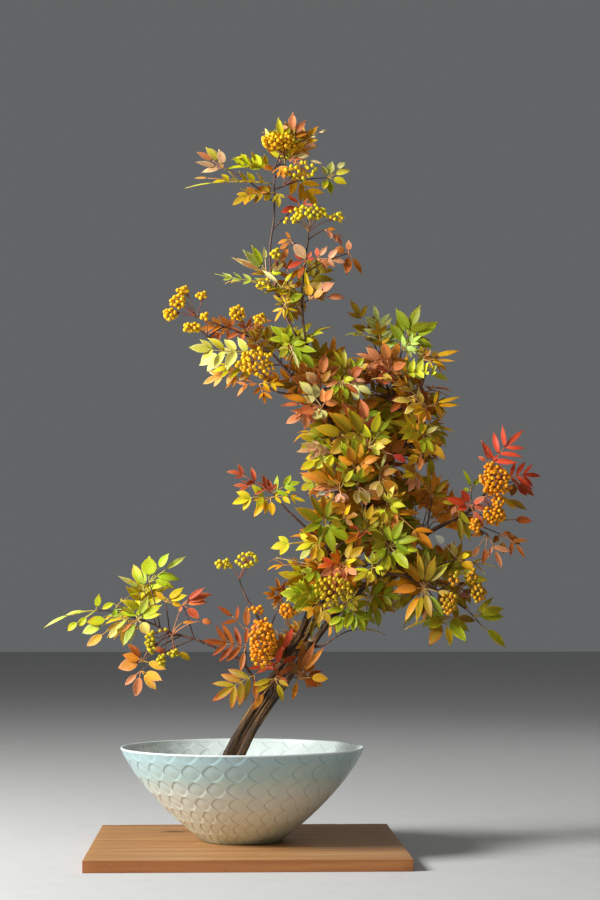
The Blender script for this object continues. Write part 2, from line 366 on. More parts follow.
      (34.1, -1.4, 61.5, "olive russet", 1, 3.8, 0.32), (30.4, -2, 63.3, "olive amber", 1, 3.4, 0.2),
      (28.1, -2.6, 63, "amber olive", 1, 3.6, 0.22), (31.3, 0.2, 65, "olive green", 1, 3.2, 0.4),
      (27.2, -3.2, 58.9, "russet amber", 1, 3.6, 0.32), (28.9, -2.4, 57, "russet brown", 1, 2.4, 0.5)]),
    ((28.8, -2.6, 62), [(25.9, -4.4, 61.4, "gold olive", 1, 2.7, 0.4),
      (26.1, -4.2, 63.4, "russet olive", 1, 2.4, 0.46), (27.2, -3.8, 58.8, "salmon pink", 1, 2.4, 0.42)])]),
  "centre_left_leaves": ("leaf_amber", [
    ((15.8, -4, 59.2), [(9.3, -6, 62.2, "amber salmon", 1, 5, 0.28),
      (10.3, -5.6, 63.2, "amber olive", 1, 4.9, 0.26), (13, -6.2, 64, "olive amber", 1, 4.2, 0.3),
      (15.7, -6.4, 63.2, "amber russet", 1, 3.2, 0.3), (18.1, -6.2, 62.4, "olive lime", 1, 3, 0.34),
      (11.5, -5.2, 59.4, "salmon pink", 1, 2.2, 0.46), (16.3, -6.6, 56.8, "pink salmon", 1, 2, 0.48),
      (12.6, -1.4, 62.4, "amber salmon", 30, 8, 0.3, 2, 3.6, 0.3),
      (11.9, -6.8, 58.2, "white cream", 1.9, 0.5)]),
    ((18.6, -4.2, 59.8), [(19.4, -6.8, 62.7, "green lime", 1, 2.5, 0.52),
      (21, -6.2, 63.2, "amber olive", 1, 2.8, 0.34), (16.6, -5.6, 62.4, "olive amber", 1, 2.6, 0.4),
      (22.4, -6.8, 57.4, "brown russet", 1, 3.2, 0.56), (20.6, -6.6, 56.8, "brown olive", 1, 3, 0.6)]),
    ((13.4, -4.4, 53.6), [(8.4, -6.2, 56.2, "green amber", 1, 5.2, 0.38),
      (10.8, -6.4, 58.4, "green amber", 1, 4.6, 0.3), (12.7, -6.2, 59, "amber olive", 1, 4.4, 0.24),
      (14.3, -6.4, 57.8, "green russet", 1, 3.8, 0.34), (9.3, -6.6, 52, "green olive", 1, 3.9, 0.38),
      (17.4, -7.2, 50.6, "green olive", 1, 4.8, 0.46), (14.7, -7, 48.8, "green olive", 1, 4.6, 0.36)]),
    ((16.4, -4.6, 54.4), [(15.9, -7, 57.6, "amber olive", 1, 2.6, 0.38),
      (18.6, -7.2, 55, "brown amber", 1, 2.8, 0.44), (14.3, -7.2, 53.4, "lime pale", 1, 1.8, 0.7),
      (17.2, -6.8, 56.4, "gold amber", 1, 2.2, 0.4)])]),
  "centre_middle_leaves": ("leaf_olive", [
    ((22.6, 7.2, 58.4), [(19, 10.4, 65.4, "olive amber", 30, 8, 0.5, 4, 3.8, 0.36),
      (29.8, 11.2, 60.4, "olive russet", 35, 8, 0.6, 4, 3.8, 0.36),
      (16.4, 11.6, 58, "lime amber", 30, 8, 0.5, 4, 3.8, 0.36),
      (24.6, 12.4, 52.6, "green amber", 30, 8, 0.5, 4, 3.8, 0.36)]),
    ((22.4, -4, 61.4), [(25.3, -7, 58.2, "russet olive", 1, 4, 0.54),
      (22.2, -7.4, 58, "olive pink", 1, 3, 0.4), (24.9, -6.2, 62.6, "russet olive", 1, 3.2, 0.44),
      (23.6, -4.4, 66, "pale pink", 1, 3.4, 0.16)]),
    ((23.4, -4.6, 56.6), [(31, -7.4, 49.2, "amber russet", 22, 4, 0.2, 2, 4.4, 0.34),
      (22.6, -8, 53.4, "lime salmon", 1, 2.9, 0.44), (20.5, -7.4, 53.6, "olive amber", 1, 3, 0.36),
      (26.2, -7.6, 56.6, "lime olive", 1, 2.8, 0.4), (24.2, -7.2, 59.6, "lime pink", 1, 3, 0.34),
      (26.6, -6, 58.8, "amber gold", 1, 2.2, 0.3)]),
    ((20, -4.4, 52.4), [(20.9, -7.6, 56.6, "olive amber", 1, 3.2, 0.34),
      (17, -7.8, 52.8, "salmon red", 1, 2.2, 0.44), (20.6, -8.4, 51.9, "scarlet salmon", 1, 2.6, 0.36),
      (16.4, -8.2, 50.2, "russet amber", 1, 3.4, 0.4), (22.6, -6.6, 54.4, "olive green", 1, 3, 0.5)])]),
  "left_shoot_leaves": ("leaf_gold", [
    ((4.8, -3.2, 58.6), [(-2.8, -3.8, 62.7, "red salmon", 46, 18, 0.3, 3, 2.7, 0.34),
      (-1.8, -2.2, 60, "red salmon", 40, 10, 0.4, 2, 2.4, 0.36),
      (9.5, -3.6, 60.6, "green lime", 26, 8, 0.3, 2, 2.9, 0.36),
      (3.8, -2.4, 61.2, "red russet", 40, 8, 0.2, 1, 2.2, 0.38)]),
    ((4.4, -3.6, 57.9), [(-2, -4.6, 56.8, "lime gold", 22, 8, 0.5, 2, 3.2, 0.42),
      (1.6, -4.8, 54.6, "gold amber", 24, 8, 0.3, 1, 3.4, 0.36),
      (4.8, -5, 54.7, "gold amber", 26, 8, 0.2, 0, 2.6, 0.44),
      (10.4, -4.2, 57.3, "gold green", 44, 8, 0.4, 3, 2.6, 0.3)])]),
  "left_yellow_leaves": ("leaf_gold", [
    ((12.6, -3.6, 50.6), [(8.4, -5, 49.5, "lime gold", 1, 3, 0.4),
      (9.1, -5.4, 47.8, "pale cream", 1, 2.6, 0.44), (11, -5.8, 47.6, "gold salmon", 1, 2.6, 0.52),
      (12.5, -6, 47.4, "olive gold", 1, 2.6, 0.56), (9.9, -4.8, 51.2, "gold amber", 1, 2.4, 0.4),
      (4.3, -2.8, 49.6, "lime gold", 14, 5, 0.4, 2, 3, 0.46)]),
    ((12.6, -3.6, 46.4), [(9.4, -5.4, 43.5, "green lime", 1, 3.4, 0.34),
      (10.4, -5.2, 47.2, "amber green", 1, 2.6, 0.5),
      (3.6, -4, 46.5, "amber gold", 70, 25, 0.4, 3, 2.6, 0.32),
      (4, -2.6, 48.1, "cream salmon", 76, 25, 0.3, 3, 2.2, 0.28)])]),
  "centre_low_leaves": ("leaf_olive", [
    ((16, -5.2, 46.9), [(12.3, -8.6, 44.8, "salmon pink", 1, 3.2, 0.36),
      (14.8, -9, 44.8, "salmon pink", 1, 2.4, 0.5), (18.2, -9, 45.2, "salmon pink", 1, 2.6, 0.46),
      (12, -8, 46.6, "scarlet amber", 1, 2.6, 0.4), (14.3, -8.2, 48.6, "amber scarlet", 1, 2.6, 0.42),
      (18.4, -8.4, 47.6, "gold lime", 1, 2.6, 0.42), (19.6, -8, 49.8, "olive amber", 1, 3.4, 0.44),
      (18.2, -8.4, 43.2, "russet amber", 1, 3.6, 0.4),
      (14.6, -6, 42.4, "amber russet", 36, 8, 0.4, 3, 3.4, 0.36)]),
    ((23.9, -5.4, 49.9), [(28, -9, 51.4, "green olive", 1, 4, 0.36),
      (25.6, -8.8, 53.8, "green olive", 1, 4, 0.4), (26.7, -9.2, 46, "green lime", 1, 4.2, 0.38),
      (22.5, -9.4, 45, "green amber", 1, 4.6, 0.38), (21.2, -8.8, 47.6, "green olive", 1, 3.4, 0.4),
      (20.4, -8.2, 52.4, "olive green", 1, 3.6, 0.44), (28.4, -7.4, 49.2, "lime green", 1, 2.2, 0.56)]),
    ((20.9, -7, 46.3), [(17.4, -9.8, 44, "lime salmon", 1, 3.8, 0.3),
      (20.8, -9.6, 48.6, "lime pale", 1, 2.2, 0.4), (20.4, -9.8, 43.7, "lime salmon", 1, 2.4, 0.48),
      (22.6, -9.4, 46.1, "lime green", 1, 1.7, 0.46)])]),
  "bottom_green_leaves": ("leaf_lime", [
    ((12.4, -4.8, 40.8), [(5.8, -5.6, 42.4, "green lime", 20, 5, 0.4, 3, 3.4, 0.46),
      (8.2, -6.8, 44, "green lime", 24, 5, 0.3, 2, 3.2, 0.44),
      (14, -7.2, 37.2, "olive amber", 28, 5, 0.3, 2, 3, 0.4),
      (10.4, -7, 38, "amber olive", 30, 5, 0.3, 2, 3, 0.38),
      (11.4, -7.6, 41.6, "lime green", 26, 5, 0.4, 2, 3, 0.42)]),
    ((16.6, -5.2, 40.2), [(19.8, -7.4, 36, "green lime", 22, 5, 0.3, 3, 3.3, 0.44),
      (15.2, -7.8, 35.8, "green lime", 26, 5, 0.2, 2, 3.2, 0.42),
      (19.6, -8.2, 41.8, "lime salmon", 30, 8, 0.4, 2, 3, 0.36)]),
    ((20.6, -3.8, 41.8), [(19.5, -4.4, 35.8, "olive green", 30, 5, 0.2, 2, 3.4, 0.38),
      (22.6, -4.2, 36.6, "green olive", 26, 5, 0.2, 1, 3.6, 0.4),
      (25, -4.6, 39.2, "olive russet", 30, 5, 0.3, 2, 3.4, 0.36),
      (26, -4.8, 41.4, "green olive", 34, 5, 0.3, 2, 3.2, 0.36)]),
    ((18.6, -4.2, 36.4), [(23.4, -4.2, 35.9, "brown olive", 82, 15, 0.1, 1, 3, 0.28)]),
    ((6.4, -3.4, 41), [(3.2, -4.6, 42.4, "russet amber", 30, 8, 0.3, 2, 2.9, 0.36),
      (5.6, -4.2, 45, "russet amber", 50, 10, -0.3, 2, 2.6, 0.3),
      (4.8, -4, 39.6, "brown amber", 34, 8, 0.2, 2, 2.8, 0.38)])]),
  "lower_right_leaves": ("leaf_olive", [
    ((29.4, -6, 43), [(26, -8.4, 47.6, "amber olive", 5, 0.32),
      (28.2, -8.8, 48.8, "olive amber", 5.4, 0.21), (31.2, -8.6, 48, "olive russet", 4.9, 0.32),
      (33.2, -8, 47.3, "brown lime", 4.6, 0.32), (29.8, -7, 49.8, "brown green", 4.6, 0.32),
      (24.2, -8.2, 42.8, "amber salmon", 4.4, 0.39), (25.8, -8.8, 37.8, "amber olive", 5.2, 0.24),
      (27.8, -9.2, 37.6, "olive gold", 5, 0.21), (29.2, -8.6, 37.4, "brown russet", 5, 0.21),
      (30.2, -9.2, 38.4, "olive russet", 4.4, 0.3), (32.4, -8.8, 38.8, "green pale", 4.2, 0.21),
      (34.4, -8.8, 41.6, "olive pink", 3.4, 0.35)]),
    ((32.8, -5.6, 38.4), [(26, -7.8, 36.4, "lime pink", 115, 5, 0.3, 0, 4.4, 0.32),
      (30, -7.2, 36.6, "olive green", 3.6, 0.67), (30.2, -7.6, 33.7, "olive red", 4.4, 0.44),
      (33.7, -7.4, 33.6, "gold lime", 3.4, 0.39), (36.3, -7, 34.2, "green lime", 4.6, 0.39),
      (37, -6.8, 36.4, "olive green", 3.8, 0.44), (38, -6.2, 37.9, "brown olive", 3, 0.46)]),
    ((34.6, -4.2, 44.2), [(40.2, -4.8, 44.3, "green amber", 20, 5, 0.5, 1, 3.2, 0.46),
      (37.6, -4.4, 40.4, "brown olive", 34, 5, 0.3, 2, 3.4, 0.36)]),
    ((35.2, -3.6, 47.8), [(42.2, -3.6, 46.8, "olive gold", 60, 10, -0.2, 1, 3.4, 0.18),
      (37, -5.8, 48.5, "gold lime", 1.9, 0.53), (37.4, -6.2, 46.2, "gold amber", 2.4, 0.7),
      (34, -6, 50.4, "olive cream", 3, 0.35), (31.4, -6.8, 51.6, "white cream", 2.2, 0.55)])]),
  "far_right_low_leaves": ("leaf_lime", [
    ((37.6, -5.2, 38.4), [(42.8, -5.8, 40.1, "green gold", 4.7, 0.37),
      (42.9, -5.6, 38.7, "green lime", 4.3, 0.42), (41.1, -4.6, 41.8, "olive green", 4.6, 0.24)]),
    ((38.8, -5.2, 37), [(43.2, -5.6, 33.5, "green gold", 4.4, 0.35)])]),
  "red_top_leaves": ("leaf_red", [
    ((41.2, 0.2, 63.6), [(47, 0, 69.8, "scarlet red", 16, 8, 0.2, 3, 4.3, 0.22),
      (39.9, 0.4, 68.2, "scarlet pink", 4.4, 0.21), (39.2, -0.2, 65.2, "scarlet pink", 1.6, 0.42),
      (42.6, -0.4, 65.4, "scarlet red", 1.4, 0.42)]),
    ((44, 0.8, 61.6), [(50.5, 1.6, 62.2, "scarlet red", 16, 8, 0.2, 3, 3.5, 0.24),
      (42.5, 0.2, 64, "scarlet pink", 2.2, 0.32)]),
    ((45.4, 0.4, 61), [(47.7, 0.2, 58.6, "red scarlet", 3.2, 0.65),
      (44.8, -0.2, 58.4, "brown russet", 2.5, 0.65), (48.8, 0.2, 58.4, "red russet", 3.1, 0.32)]),
    ((42.6, 0.8, 58.8), [(45.8, 0.4, 56.3, "olive amber", 3.2, 0.3),
      (47.5, 0.4, 56.2, "olive russet", 3.4, 0.31)]),
    ((37.9, -0.4, 59.2), [(36.8, -0.8, 63.1, "green lime", 30, 8, 0.4, 0, 3.3, 0.22),
      (36.5, 0.4, 59.7, "green lime", 1.5, 0.58), (39.4, 0.4, 61.4, "green olive", 1.6, 0.53)])]),
  "red_left_leaf": ("leaf_red", [
    ((37.6, -2, 56.6), [(33.4, -3, 58, "scarlet red", 4.2, 0.39),
      (36, -2.6, 59.4, "scarlet red", 3.3, 0.53), (40, -3, 58.3, "scarlet pink", 2.9, 0.42),
      (40.4, -2.8, 56.2, "red pink", 2.5, 0.58), (39.8, -3.4, 52.8, "red pink", 4.4, 0.3),
      (35.2, -2.4, 56, "scarlet red", 2.3, 0.6)]),
    ((35.6, -1.6, 57), [(32.9, -1.8, 57.4, "olive gold", 2.6, 0.35),
      (34.4, -1.8, 55.2, "salmon pink", 1.6, 0.53), (37.6, -2.4, 50.8, "olive lime", 5.6, 0.32),
      (36, -2.6, 50.4, "olive brown", 4.4, 0.26)])]),
  "red_hanging_leaves": ("leaf_russet", [
    ((40.4, -2.4, 52), [(42.7, -3, 46.2, "russet pink", 18, 8, 0.1, 1, 3.2, 0.26),
      (39.5, -3.2, 46.8, "russet red", 2.9, 0.28), (37.7, -3.2, 48.1, "russet pink", 2.2, 0.42),
      (37.4, -2, 52, "brown russet", 2.6, 0.53)]),
    ((42.6, -1.6, 52), [(46.7, -2.4, 47.9, "russet salmon", 26, 8, 0.6, 1, 2.8, 0.26),
      (46.3, -1.8, 50.2, "russet brown", 20, 8, 0.7, 0, 3.1, 0.36),
      (44.6, -1.8, 52.2, "russet red", 1.9, 0.53), (41.3, -2.2, 50.6, "brown russet", 1.5, 0.77),
      (43, -3.2, 48.8, "brown russet", 2.1, 0.53)]),
    ((43.6, -0.8, 54.4), [(48.1, -1.4, 54.3, "russet red", 2.9, 0.51)])]),
  "low_left_top_leaves": ("leaf_lime", [
    ((-15.4, -1.6, 44), [(-9.4, -2.2, 48.5, "fresh cream", 3.9, 0.23),
      (-12.1, -2.2, 48.8, "fresh green", 2.9, 0.49), (-15.5, -1.8, 48.4, "fresh gold", 3.3, 0.79),
      (-10, -2.2, 44.8, "fresh olive", 20, 5, 1.4, 0, 4.2, 0.36),
      (-11.1, -2.6, 43.2, "fresh russet", 20, 5, 0.9, 0, 3.9, 0.36)]),
    ((-16.3, -1, 42.7), [(-20.6, -0.6, 45.1, "green cream", 4.2, 0.24),
      (-18.3, -1, 47.3, "fresh salmon", 3.9, 0.42), (-16.6, -1.4, 46.2, "fresh cream", 2.6, 0.53),
      (-12.4, -2.2, 43.6, "fresh gold", 24, 5, 0.5, 0, 3.6, 0.34)]),
    ((-12.7, -2.4, 40.8), [(-9.7, -2.8, 43.4, "gold fresh", 3.5, 0.37),
      (-9, -2.6, 41.9, "gold fresh", 3.6, 0.39), (-14.4, -2.4, 42.6, "gold salmon", 2.2, 0.53),
      (-10, -2.6, 40.2, "gold amber", 1.7, 0.51)])]),
  "low_left_long_leaves": ("leaf_lime", [
    ((-24, -2.8, 39.4), [(-32.8, -3.4, 36.9, "fresh cream", 30, 5, 0.5, 0, 4.6, 0.13),
      (-29.3, -3.2, 38.9, "fresh pink", 3.4, 0.21), (-28.8, -3.4, 36.1, "fresh amber", 2.2, 0.53),
      (-27, -3.4, 36.9, "fresh amber", 2, 0.58), (-23.5, -2.6, 42.2, "fresh gold", 2.9, 0.46)]),
    ((-20.6, -2.4, 40.2), [(-23.2, -2.8, 39.6, "fresh gold", 20, 5, 0.8, 0, 2.6, 0.46),
      (-21.2, -2.8, 37.8, "fresh green", 2.2, 0.42),
      (-17, -1.4, 42.4, "green amber", 66, 12, 0.3, 2, 1.4, 0.34),
      (-17.4, -2.4, 38.8, "olive green", 3, 0.28)]),
    ((-18.4, -2.6, 38.4), [(-22.4, -2.8, 38.8, "green pale", 20, 5, 0.3, 0, 3.2, 0.2),
      (-25.6, -3.6, 37.4, "fresh amber", 3.2, 0.53), (-26.4, -3.8, 35.9, "fresh cream", 3.4, 0.49),
      (-25.6, -3.8, 33.6, "gold pink", 3.3, 0.44), (-21.8, -3.6, 34.9, "pale pink", 1.9, 0.7),
      (-21.1, -3.4, 36.1, "fresh cream", 2.8, 0.23)])]),
  "low_left_near_leaves": ("leaf_lime", [
    ((-17.2, -3, 38), [(-15.3, -4, 41.9, "green pale", 3.9, 0.35),
      (-13.2, -4.2, 40.4, "fresh gold", 4, 0.36), (-13.3, -4.4, 38.9, "fresh gold", 3.6, 0.28),
      (-19.5, -5, 33.7, "green pale", 4.2, 0.32), (-18.4, -4.8, 34, "cream fresh", 3.6, 0.15),
      (-15.2, -4.4, 35.6, "pale salmon", 2.5, 0.7), (-19.8, -4.2, 35.9, "salmon amber", 2.4, 0.21),
      (-19.4, 1.4, 40.6, "fresh gold", 40, 8, 0.4, 2, 3.2, 0.36)])]),
  "low_left_hanging_leaves": ("leaf_salmon", [
    ((-16.2, -2.8, 31.2), [(-18.8, -3.2, 34.2, "russet salmon", 3.7, 0.39),
      (-19.7, -3.4, 32.3, "amber salmon", 3.4, 0.49), (-20.5, -3.4, 30.1, "amber pink", 3.6, 0.58),
      (-12.4, -3.6, 29.9, "gold pink", 3.8, 0.42)]),
    ((-16.6, -3, 29.6), [(-19.3, -3.4, 27.2, "salmon pink", 2.7, 0.37),
      (-17.5, -3.6, 25.2, "salmon pink", 3.5, 0.44), (-14, -3.8, 26.5, "gold pink", 3.7, 0.44),
      (-13, -3.8, 28, "gold pink", 3.8, 0.49)]),
    ((-15.2, -2.6, 33.2), [(-12.5, -3.4, 32.8, "salmon red", 2.4, 0.46),
      (-16.4, -2.8, 31.2, "salmon amber", 0.6, 0.35)]),
    ((-9.9, -3, 40.4), [(-5.2, -4.2, 42.5, "red salmon", 4.4, 0.32),
      (-6.2, -4.4, 43.2, "red russet", 3.6, 0.28), (-5.8, -4, 41, "salmon red", 3.9, 0.35),
      (-7.1, -3.8, 38, "red salmon", 2.7, 0.51)]),
    ((-11.6, -3.2, 35.2), [(-10, -3.2, 40.3, "salmon red", 1.2, 0.51),
      (-4.9, -4, 37.6, "salmon russet", 30, 8, 1, 0, 1.7, 0.66),
      (-7.4, -3.6, 37.8, "amber salmon", 30, 8, 1, 0, 2.4, 0.24),
      (-8.2, -3.8, 31.4, "gold lime", 24, 5, -0.9, 0, 2.4, 0.44)])]),
  "trunk_left_leaves": ("leaf_russet", [
    ((0.4, -4.4, 33.4), [(-6.8, -5.2, 34.6, "russet red", 12, 3, 0.1, 3, 4.3, 0.25),
      (0.7, -5.2, 36.7, "russet red", 3.2, 0.3), (-0.4, -5.2, 29.4, "russet salmon", 3.9, 0.28)]),
    ((0.6, -4.2, 36), [(-4.2, -4.8, 40.2, "russet red", 14, 4, 0.3, 1, 2.9, 0.28),
      (0.6, -4.8, 40.2, "russet salmon", 3.4, 0.35), (3.3, -5.4, 37.7, "salmon red", 2.9, 0.3)]),
    ((1.8, -4.6, 29), [(-5.2, -5.2, 24.6, "olive scarlet", 12, 3, 0.2, 3, 4.6, 0.27),
      (2.2, -5.4, 24.7, "russet salmon", 4, 0.27)])]),
  "trunk_right_leaves": ("leaf_russet", [
    ((9, -3.8, 28.4), [(14, -4.8, 28.5, "gold salmon", 2.9, 0.53),
      (12.4, -4.4, 27.2, "russet red", 2.6, 0.42), (13.2, -4.6, 33.5, "amber salmon", 5, 0.23),
      (11.8, -4.4, 34.4, "russet salmon", 5.2, 0.23), (10, -4.4, 34.6, "russet brown", 5.2, 0.26),
      (8, -5.2, 24.9, "amber russet", 3.2, 0.3), (7.4, -5.4, 31.6, "brown russet", 3.4, 0.46)]),
    ((5.2, -4.4, 28.4), [(1.6, -5.8, 27.4, "olive gold", 3.6, 0.28),
      (1.8, -5.6, 26, "olive amber", 3.2, 0.3), (1.3, -5.4, 23, "amber salmon", 3.6, 0.32),
      (6.6, -6, 24.7, "olive gold", 3.2, 0.3), (7.4, -6, 27.2, "olive amber", 2.2, 0.35),
      (8.2, -5.6, 30.6, "russet red", 24, 4, 0.2, 1, 3.4, 0.3)]),
    ((5.2, -5.6, 30), [(6.5, -6.4, 34, "scarlet red", 3.6, 0.32),
      (8.2, -6, 36.8, "scarlet red", 3.8, 0.3), (8.9, -5.2, 32.4, "red russet", 2.8, 0.39)])]),
}

# Leaves that fill the crown's depth: the spray they belong to, the middle and half sizes of the part of
# the crown in centimetres, how many shoots of two leaves, and the colours these take in turn.
FILLING = [
  ("upright_green_leaves", (14, 4, 77.5), (4.5, 3.5, 2.5), 8, ["amber", "russet", "olive", "olive"]),
  ("top_right_salmon_leaf", (23, 5, 77), (4.5, 3.5, 3), 8, ["salmon", "amber", "russet", "olive"]),
  ("right_cream_leaves", (28.5, 3.5, 73.5), (3.5, 3.5, 3), 7, ["russet", "gold", "olive"]),
  ("centre_high_leaves", (18, 3, 69.5), (5, 4, 4), 12, ["olive", "olive", "amber", "green"]),
  ("centre_right_leaves", (27, 3.5, 65.5), (4, 3.5, 4.5), 11, ["olive", "amber", "olive", "russet"]),
  ("centre_left_leaves", (16.5, 2, 61.5), (4, 4, 4), 11, ["olive", "green", "amber"]),
  ("centre_middle_leaves", (22, 4, 57), (6.5, 5, 5), 16, ["olive", "olive", "green", "amber"]),
  ("red_left_leaf", (30, 2.5, 55), (3.5, 3.5, 4), 8, ["olive", "green", "amber"]),
  ("centre_low_leaves", (20, 2, 48.5), (7, 4, 4), 16, ["amber", "olive", "olive", "green"]),
  ("lower_right_leaves", (31, 0, 44), (4, 3.5, 4), 11, ["olive", "olive", "green", "amber"]),
  ("bottom_green_leaves", (14.5, -0.5, 42), (4.5, 3.5, 2.5), 8, ["lime", "olive", "amber", "olive"]),
  ("shoulder_green_leaves", (8, 3, 82.5), (3, 2, 2), 4, ["green", "olive"]),
  ("trunk_right_leaves", (7.5, 0.5, 31), (2.2, 2, 3.6), 5, ["russet", "scarlet", "russet"]),
  ("low_left_long_leaves", (-18, 0, 38.5), (2.5, 1.5, 1.5), 2, ["lime", "gold"]),
  ("crown_top_leaves", (7, 2.5, 115), (2.5, 1.5, 2), 4, ["gold", "salmon", "lime"]),
  ("neck_right_leaves", (9.5, 2, 92.5), (2.5, 1.5, 2), 4, ["olive", "amber", "lime"]),
]

# Berry heads: the slot, then each umbel's foot, its middle and its half sizes in centimetres, and
# the number of berries.
HEADS = {
  "crown_berries": ("berry_yellow", [
    ((6.8, 0, 115.4), (5.7, -1.2, 118), (3.2, 1.9, 1.5), 62)]),
  "crown_lower_berries": ("berry_yellow", [
    ((6.6, 0, 110.6), (9.6, -0.6, 113), (3.2, 1.8, 1.9), 26)]),
  "upper_berries": ("berry_yellow", [
    ((10.9, -0.2, 102.8), (11.2, -0.6, 106), (3.9, 1.6, 1.3), 42),
    ((10.9, -0.2, 102.8), (15.7, -0.6, 105.3), (1.4, 1, 0.8), 9),
    ((10.9, -0.2, 102.8), (8, -0.6, 104.7), (1.4, 0.9, 0.8), 6),
    ((5.2, 0.4, 92.6), (3.2, -1.2, 93.6), (1.5, 0.9, 1.1), 7),
    ((5.2, 0.4, 92.6), (5.3, -1, 98.9), (0.9, 0.7, 1), 9)]),
  "far_left_berries": ("berry_gold", [
    ((-8, 1.1, 88.5), (-12.4, 0.6, 88.8), (1.2, 1.1, 1), 16),
    ((-8, 1.1, 88.5), (-10.9, 0.8, 91.1), (1.5, 1.4, 1.4), 24),
    ((-8, 1.1, 88.5), (-10.1, 0.8, 92.9), (1, 0.9, 0.7), 9),
    ((-7.8, 1.1, 88.4), (-7, 0.4, 92), (1.2, 0.7, 0.5), 8)]),
  "left_small_berries": ("berry_gold", [
    ((-6, 0.4, 84.8), (-8.6, -0.8, 86.4), (1.9, 1, 0.9), 16),
    ((-6, 0.4, 84.8), (-6.5, -0.8, 88.3), (0.8, 0.7, 0.6), 6)]),
  "left_middle_berries": ("berry_gold", [
    ((0.4, 1.4, 86), (-1.2, -0.2, 89), (1.5, 1.2, 1.5), 19),
    ((0.4, 1.4, 86), (2.8, -0.2, 88), (1.2, 1, 1), 12)]),
  "left_big_berries": ("berry_gold", [
    ((4.2, -2.8, 76.8), (2, -4, 80.2), (3.4, 2.1, 2.5), 62)]),
  "twig_berries": ("berry_yellow", [
    ((-0.6, -3.3, 44.6), (-3.2, -3.4, 47), (1.5, 0.8, 0.7), 11),
    ((-0.6, -3.3, 44.6), (0.6, -3.4, 47.6), (1.9, 1.3, 1.7), 17)]),
  "low_left_berries": ("berry_yellow", [
    ((-12, -2.5, 35.9), (-15, -4.6, 34.4), (0.8, 0.7, 1.9), 17),
    ((-12, -2.5, 35.9), (-13.2, -4.8, 31.4), (0.6, 0.6, 0.9), 9),
    ((-12, -2.5, 35.9), (-11.2, -4.4, 32.5), (0.9, 0.7, 0.5), 8),
    ((-12, -2.5, 35.9), (-13.2, -4, 36.2), (0.7, 0.4, 0.3), 2)]),
  "trunk_berries": ("berry_orange", [
    ((4.2, -3.6, 31.2), (3.2, -6.2, 34.3), (2.4, 2, 4.2), 110)]),
  "trunk_upper_berries": ("berry_orange", [
    ((7.6, -2.8, 36.4), (7.2, -4.8, 39.3), (1.4, 1.2, 1.3), 22),
    ((3.6, -3.2, 36.6), (2.3, -4.2, 39.5), (1.4, 0.8, 0.6), 9)]),
  "centre_berries": ("berry_yellow", [
    ((14.8, -4.4, 40.6), (14.6, -8.4, 42.6), (3.2, 1.9, 2.9), 50)]),
  "red_upper_berries": ("berry_orange", [
    ((41, -0.6, 59.4), (41.7, -2.4, 60.6), (2.9, 1.9, 2.6), 84),
    ((41, -0.6, 59.4), (41, -1.8, 63.2), (1, 0.8, 0.7), 9),
    ((40.2, -0.7, 58.4), (42.3, -2.2, 57.3), (1.1, 0.9, 1.1), 13)]),
  "red_lower_berries": ("berry_orange", [
    ((40, -0.7, 58), (41.6, -1.8, 55), (2.1, 1.6, 1.7), 44),
    ((38.2, -1, 56.6), (38.3, -3, 53.5), (0.9, 0.9, 1.2), 14)]),
  "lower_right_berries": ("berry_orange", [
    ((34.2, -4.4, 42), (34.2, -7.2, 44.5), (1.1, 1, 1.4), 8),
    ((34.8, -4.4, 41.6), (37.2, -6.8, 44.9), (0.9, 0.8, 1.3), 12),
    ((34.8, -4.4, 41.6), (38.3, -6.4, 42.4), (1.2, 1, 1.7), 26),
    ((33.6, -4.4, 41.6), (33.4, -8, 40.6), (1.3, 1, 2), 26)]),
}
BERRY_COLOURS = {
    "crown_berries": ("#f6b80e", "#ecc81a"),
    "low_left_berries": ("#beb01e", "#d2c020"),
    "centre_berries": ("#c8ac18", "#d2be22"),
    "lower_right_berries": ("#cc8c16", "#b8a81e"),
    "berry_yellow": ("#e8cc1c", "#c8c62c"),
    "berry_gold": ("#f0b814", "#e2c81c"),
    "berry_orange": ("#e8900e", "#eeb416"),
}


# ---- Colours and node materials ----

def linear(colour):
    """An sRGB hex colour as linear red, green, blue and 1."""
    shares = [int(colour[place:place + 2], 16) / 255 for place in (1, 3, 5)]
    return (*(s / 12.92 if s <= 0.04045 else ((s + 0.055) / 1.055) ** 2.4 for s in shares), 1)


def feed(tree, made, inputs):
    """Gives inputs, in order or by key, a value, a hex colour or the socket that feeds them."""
    for name, value in (inputs.items() if isinstance(inputs, dict) else enumerate(inputs)):
        value = linear(value) if isinstance(value, str) else value
        if isinstance(value, bpy.types.NodeSocket):
            tree.links.new(value, made.inputs[name])
        else:
            made.inputs[name].default_value = value


def node(tree, kind, inputs=(), out=0, stops=(), **settings):
    """Adds a node with its settings, colour stops and inputs, and gives the output asked for."""
    made = tree.nodes.new("ShaderNode" + kind)
    for name, value in settings.items():
        setattr(made, name, value)
    for number, (place, colour) in enumerate(stops):
        elements = made.color_ramp.elements
        element = elements[number] if number < len(elements) else elements.new(place)
        element.position = place
        element.color = linear(colour)
    feed(tree, made, inputs)
    return made.outputs[out]


def finish_named(name, **sockets):
    """A new material with its constant sockets set, and a way to add nodes to it."""
    made = bpy.data.materials.new(name)
    made.use_nodes = True
    shade(made, {socket.replace("_", " "): value for socket, value in sockets.items()})
    return made, functools.partial(node, made.node_tree)


def shade(made, inputs):
    """Feeds a material's shader, and returns the material."""
    feed(made.node_tree, made.node_tree.nodes["Principled BSDF"], inputs)
    return made


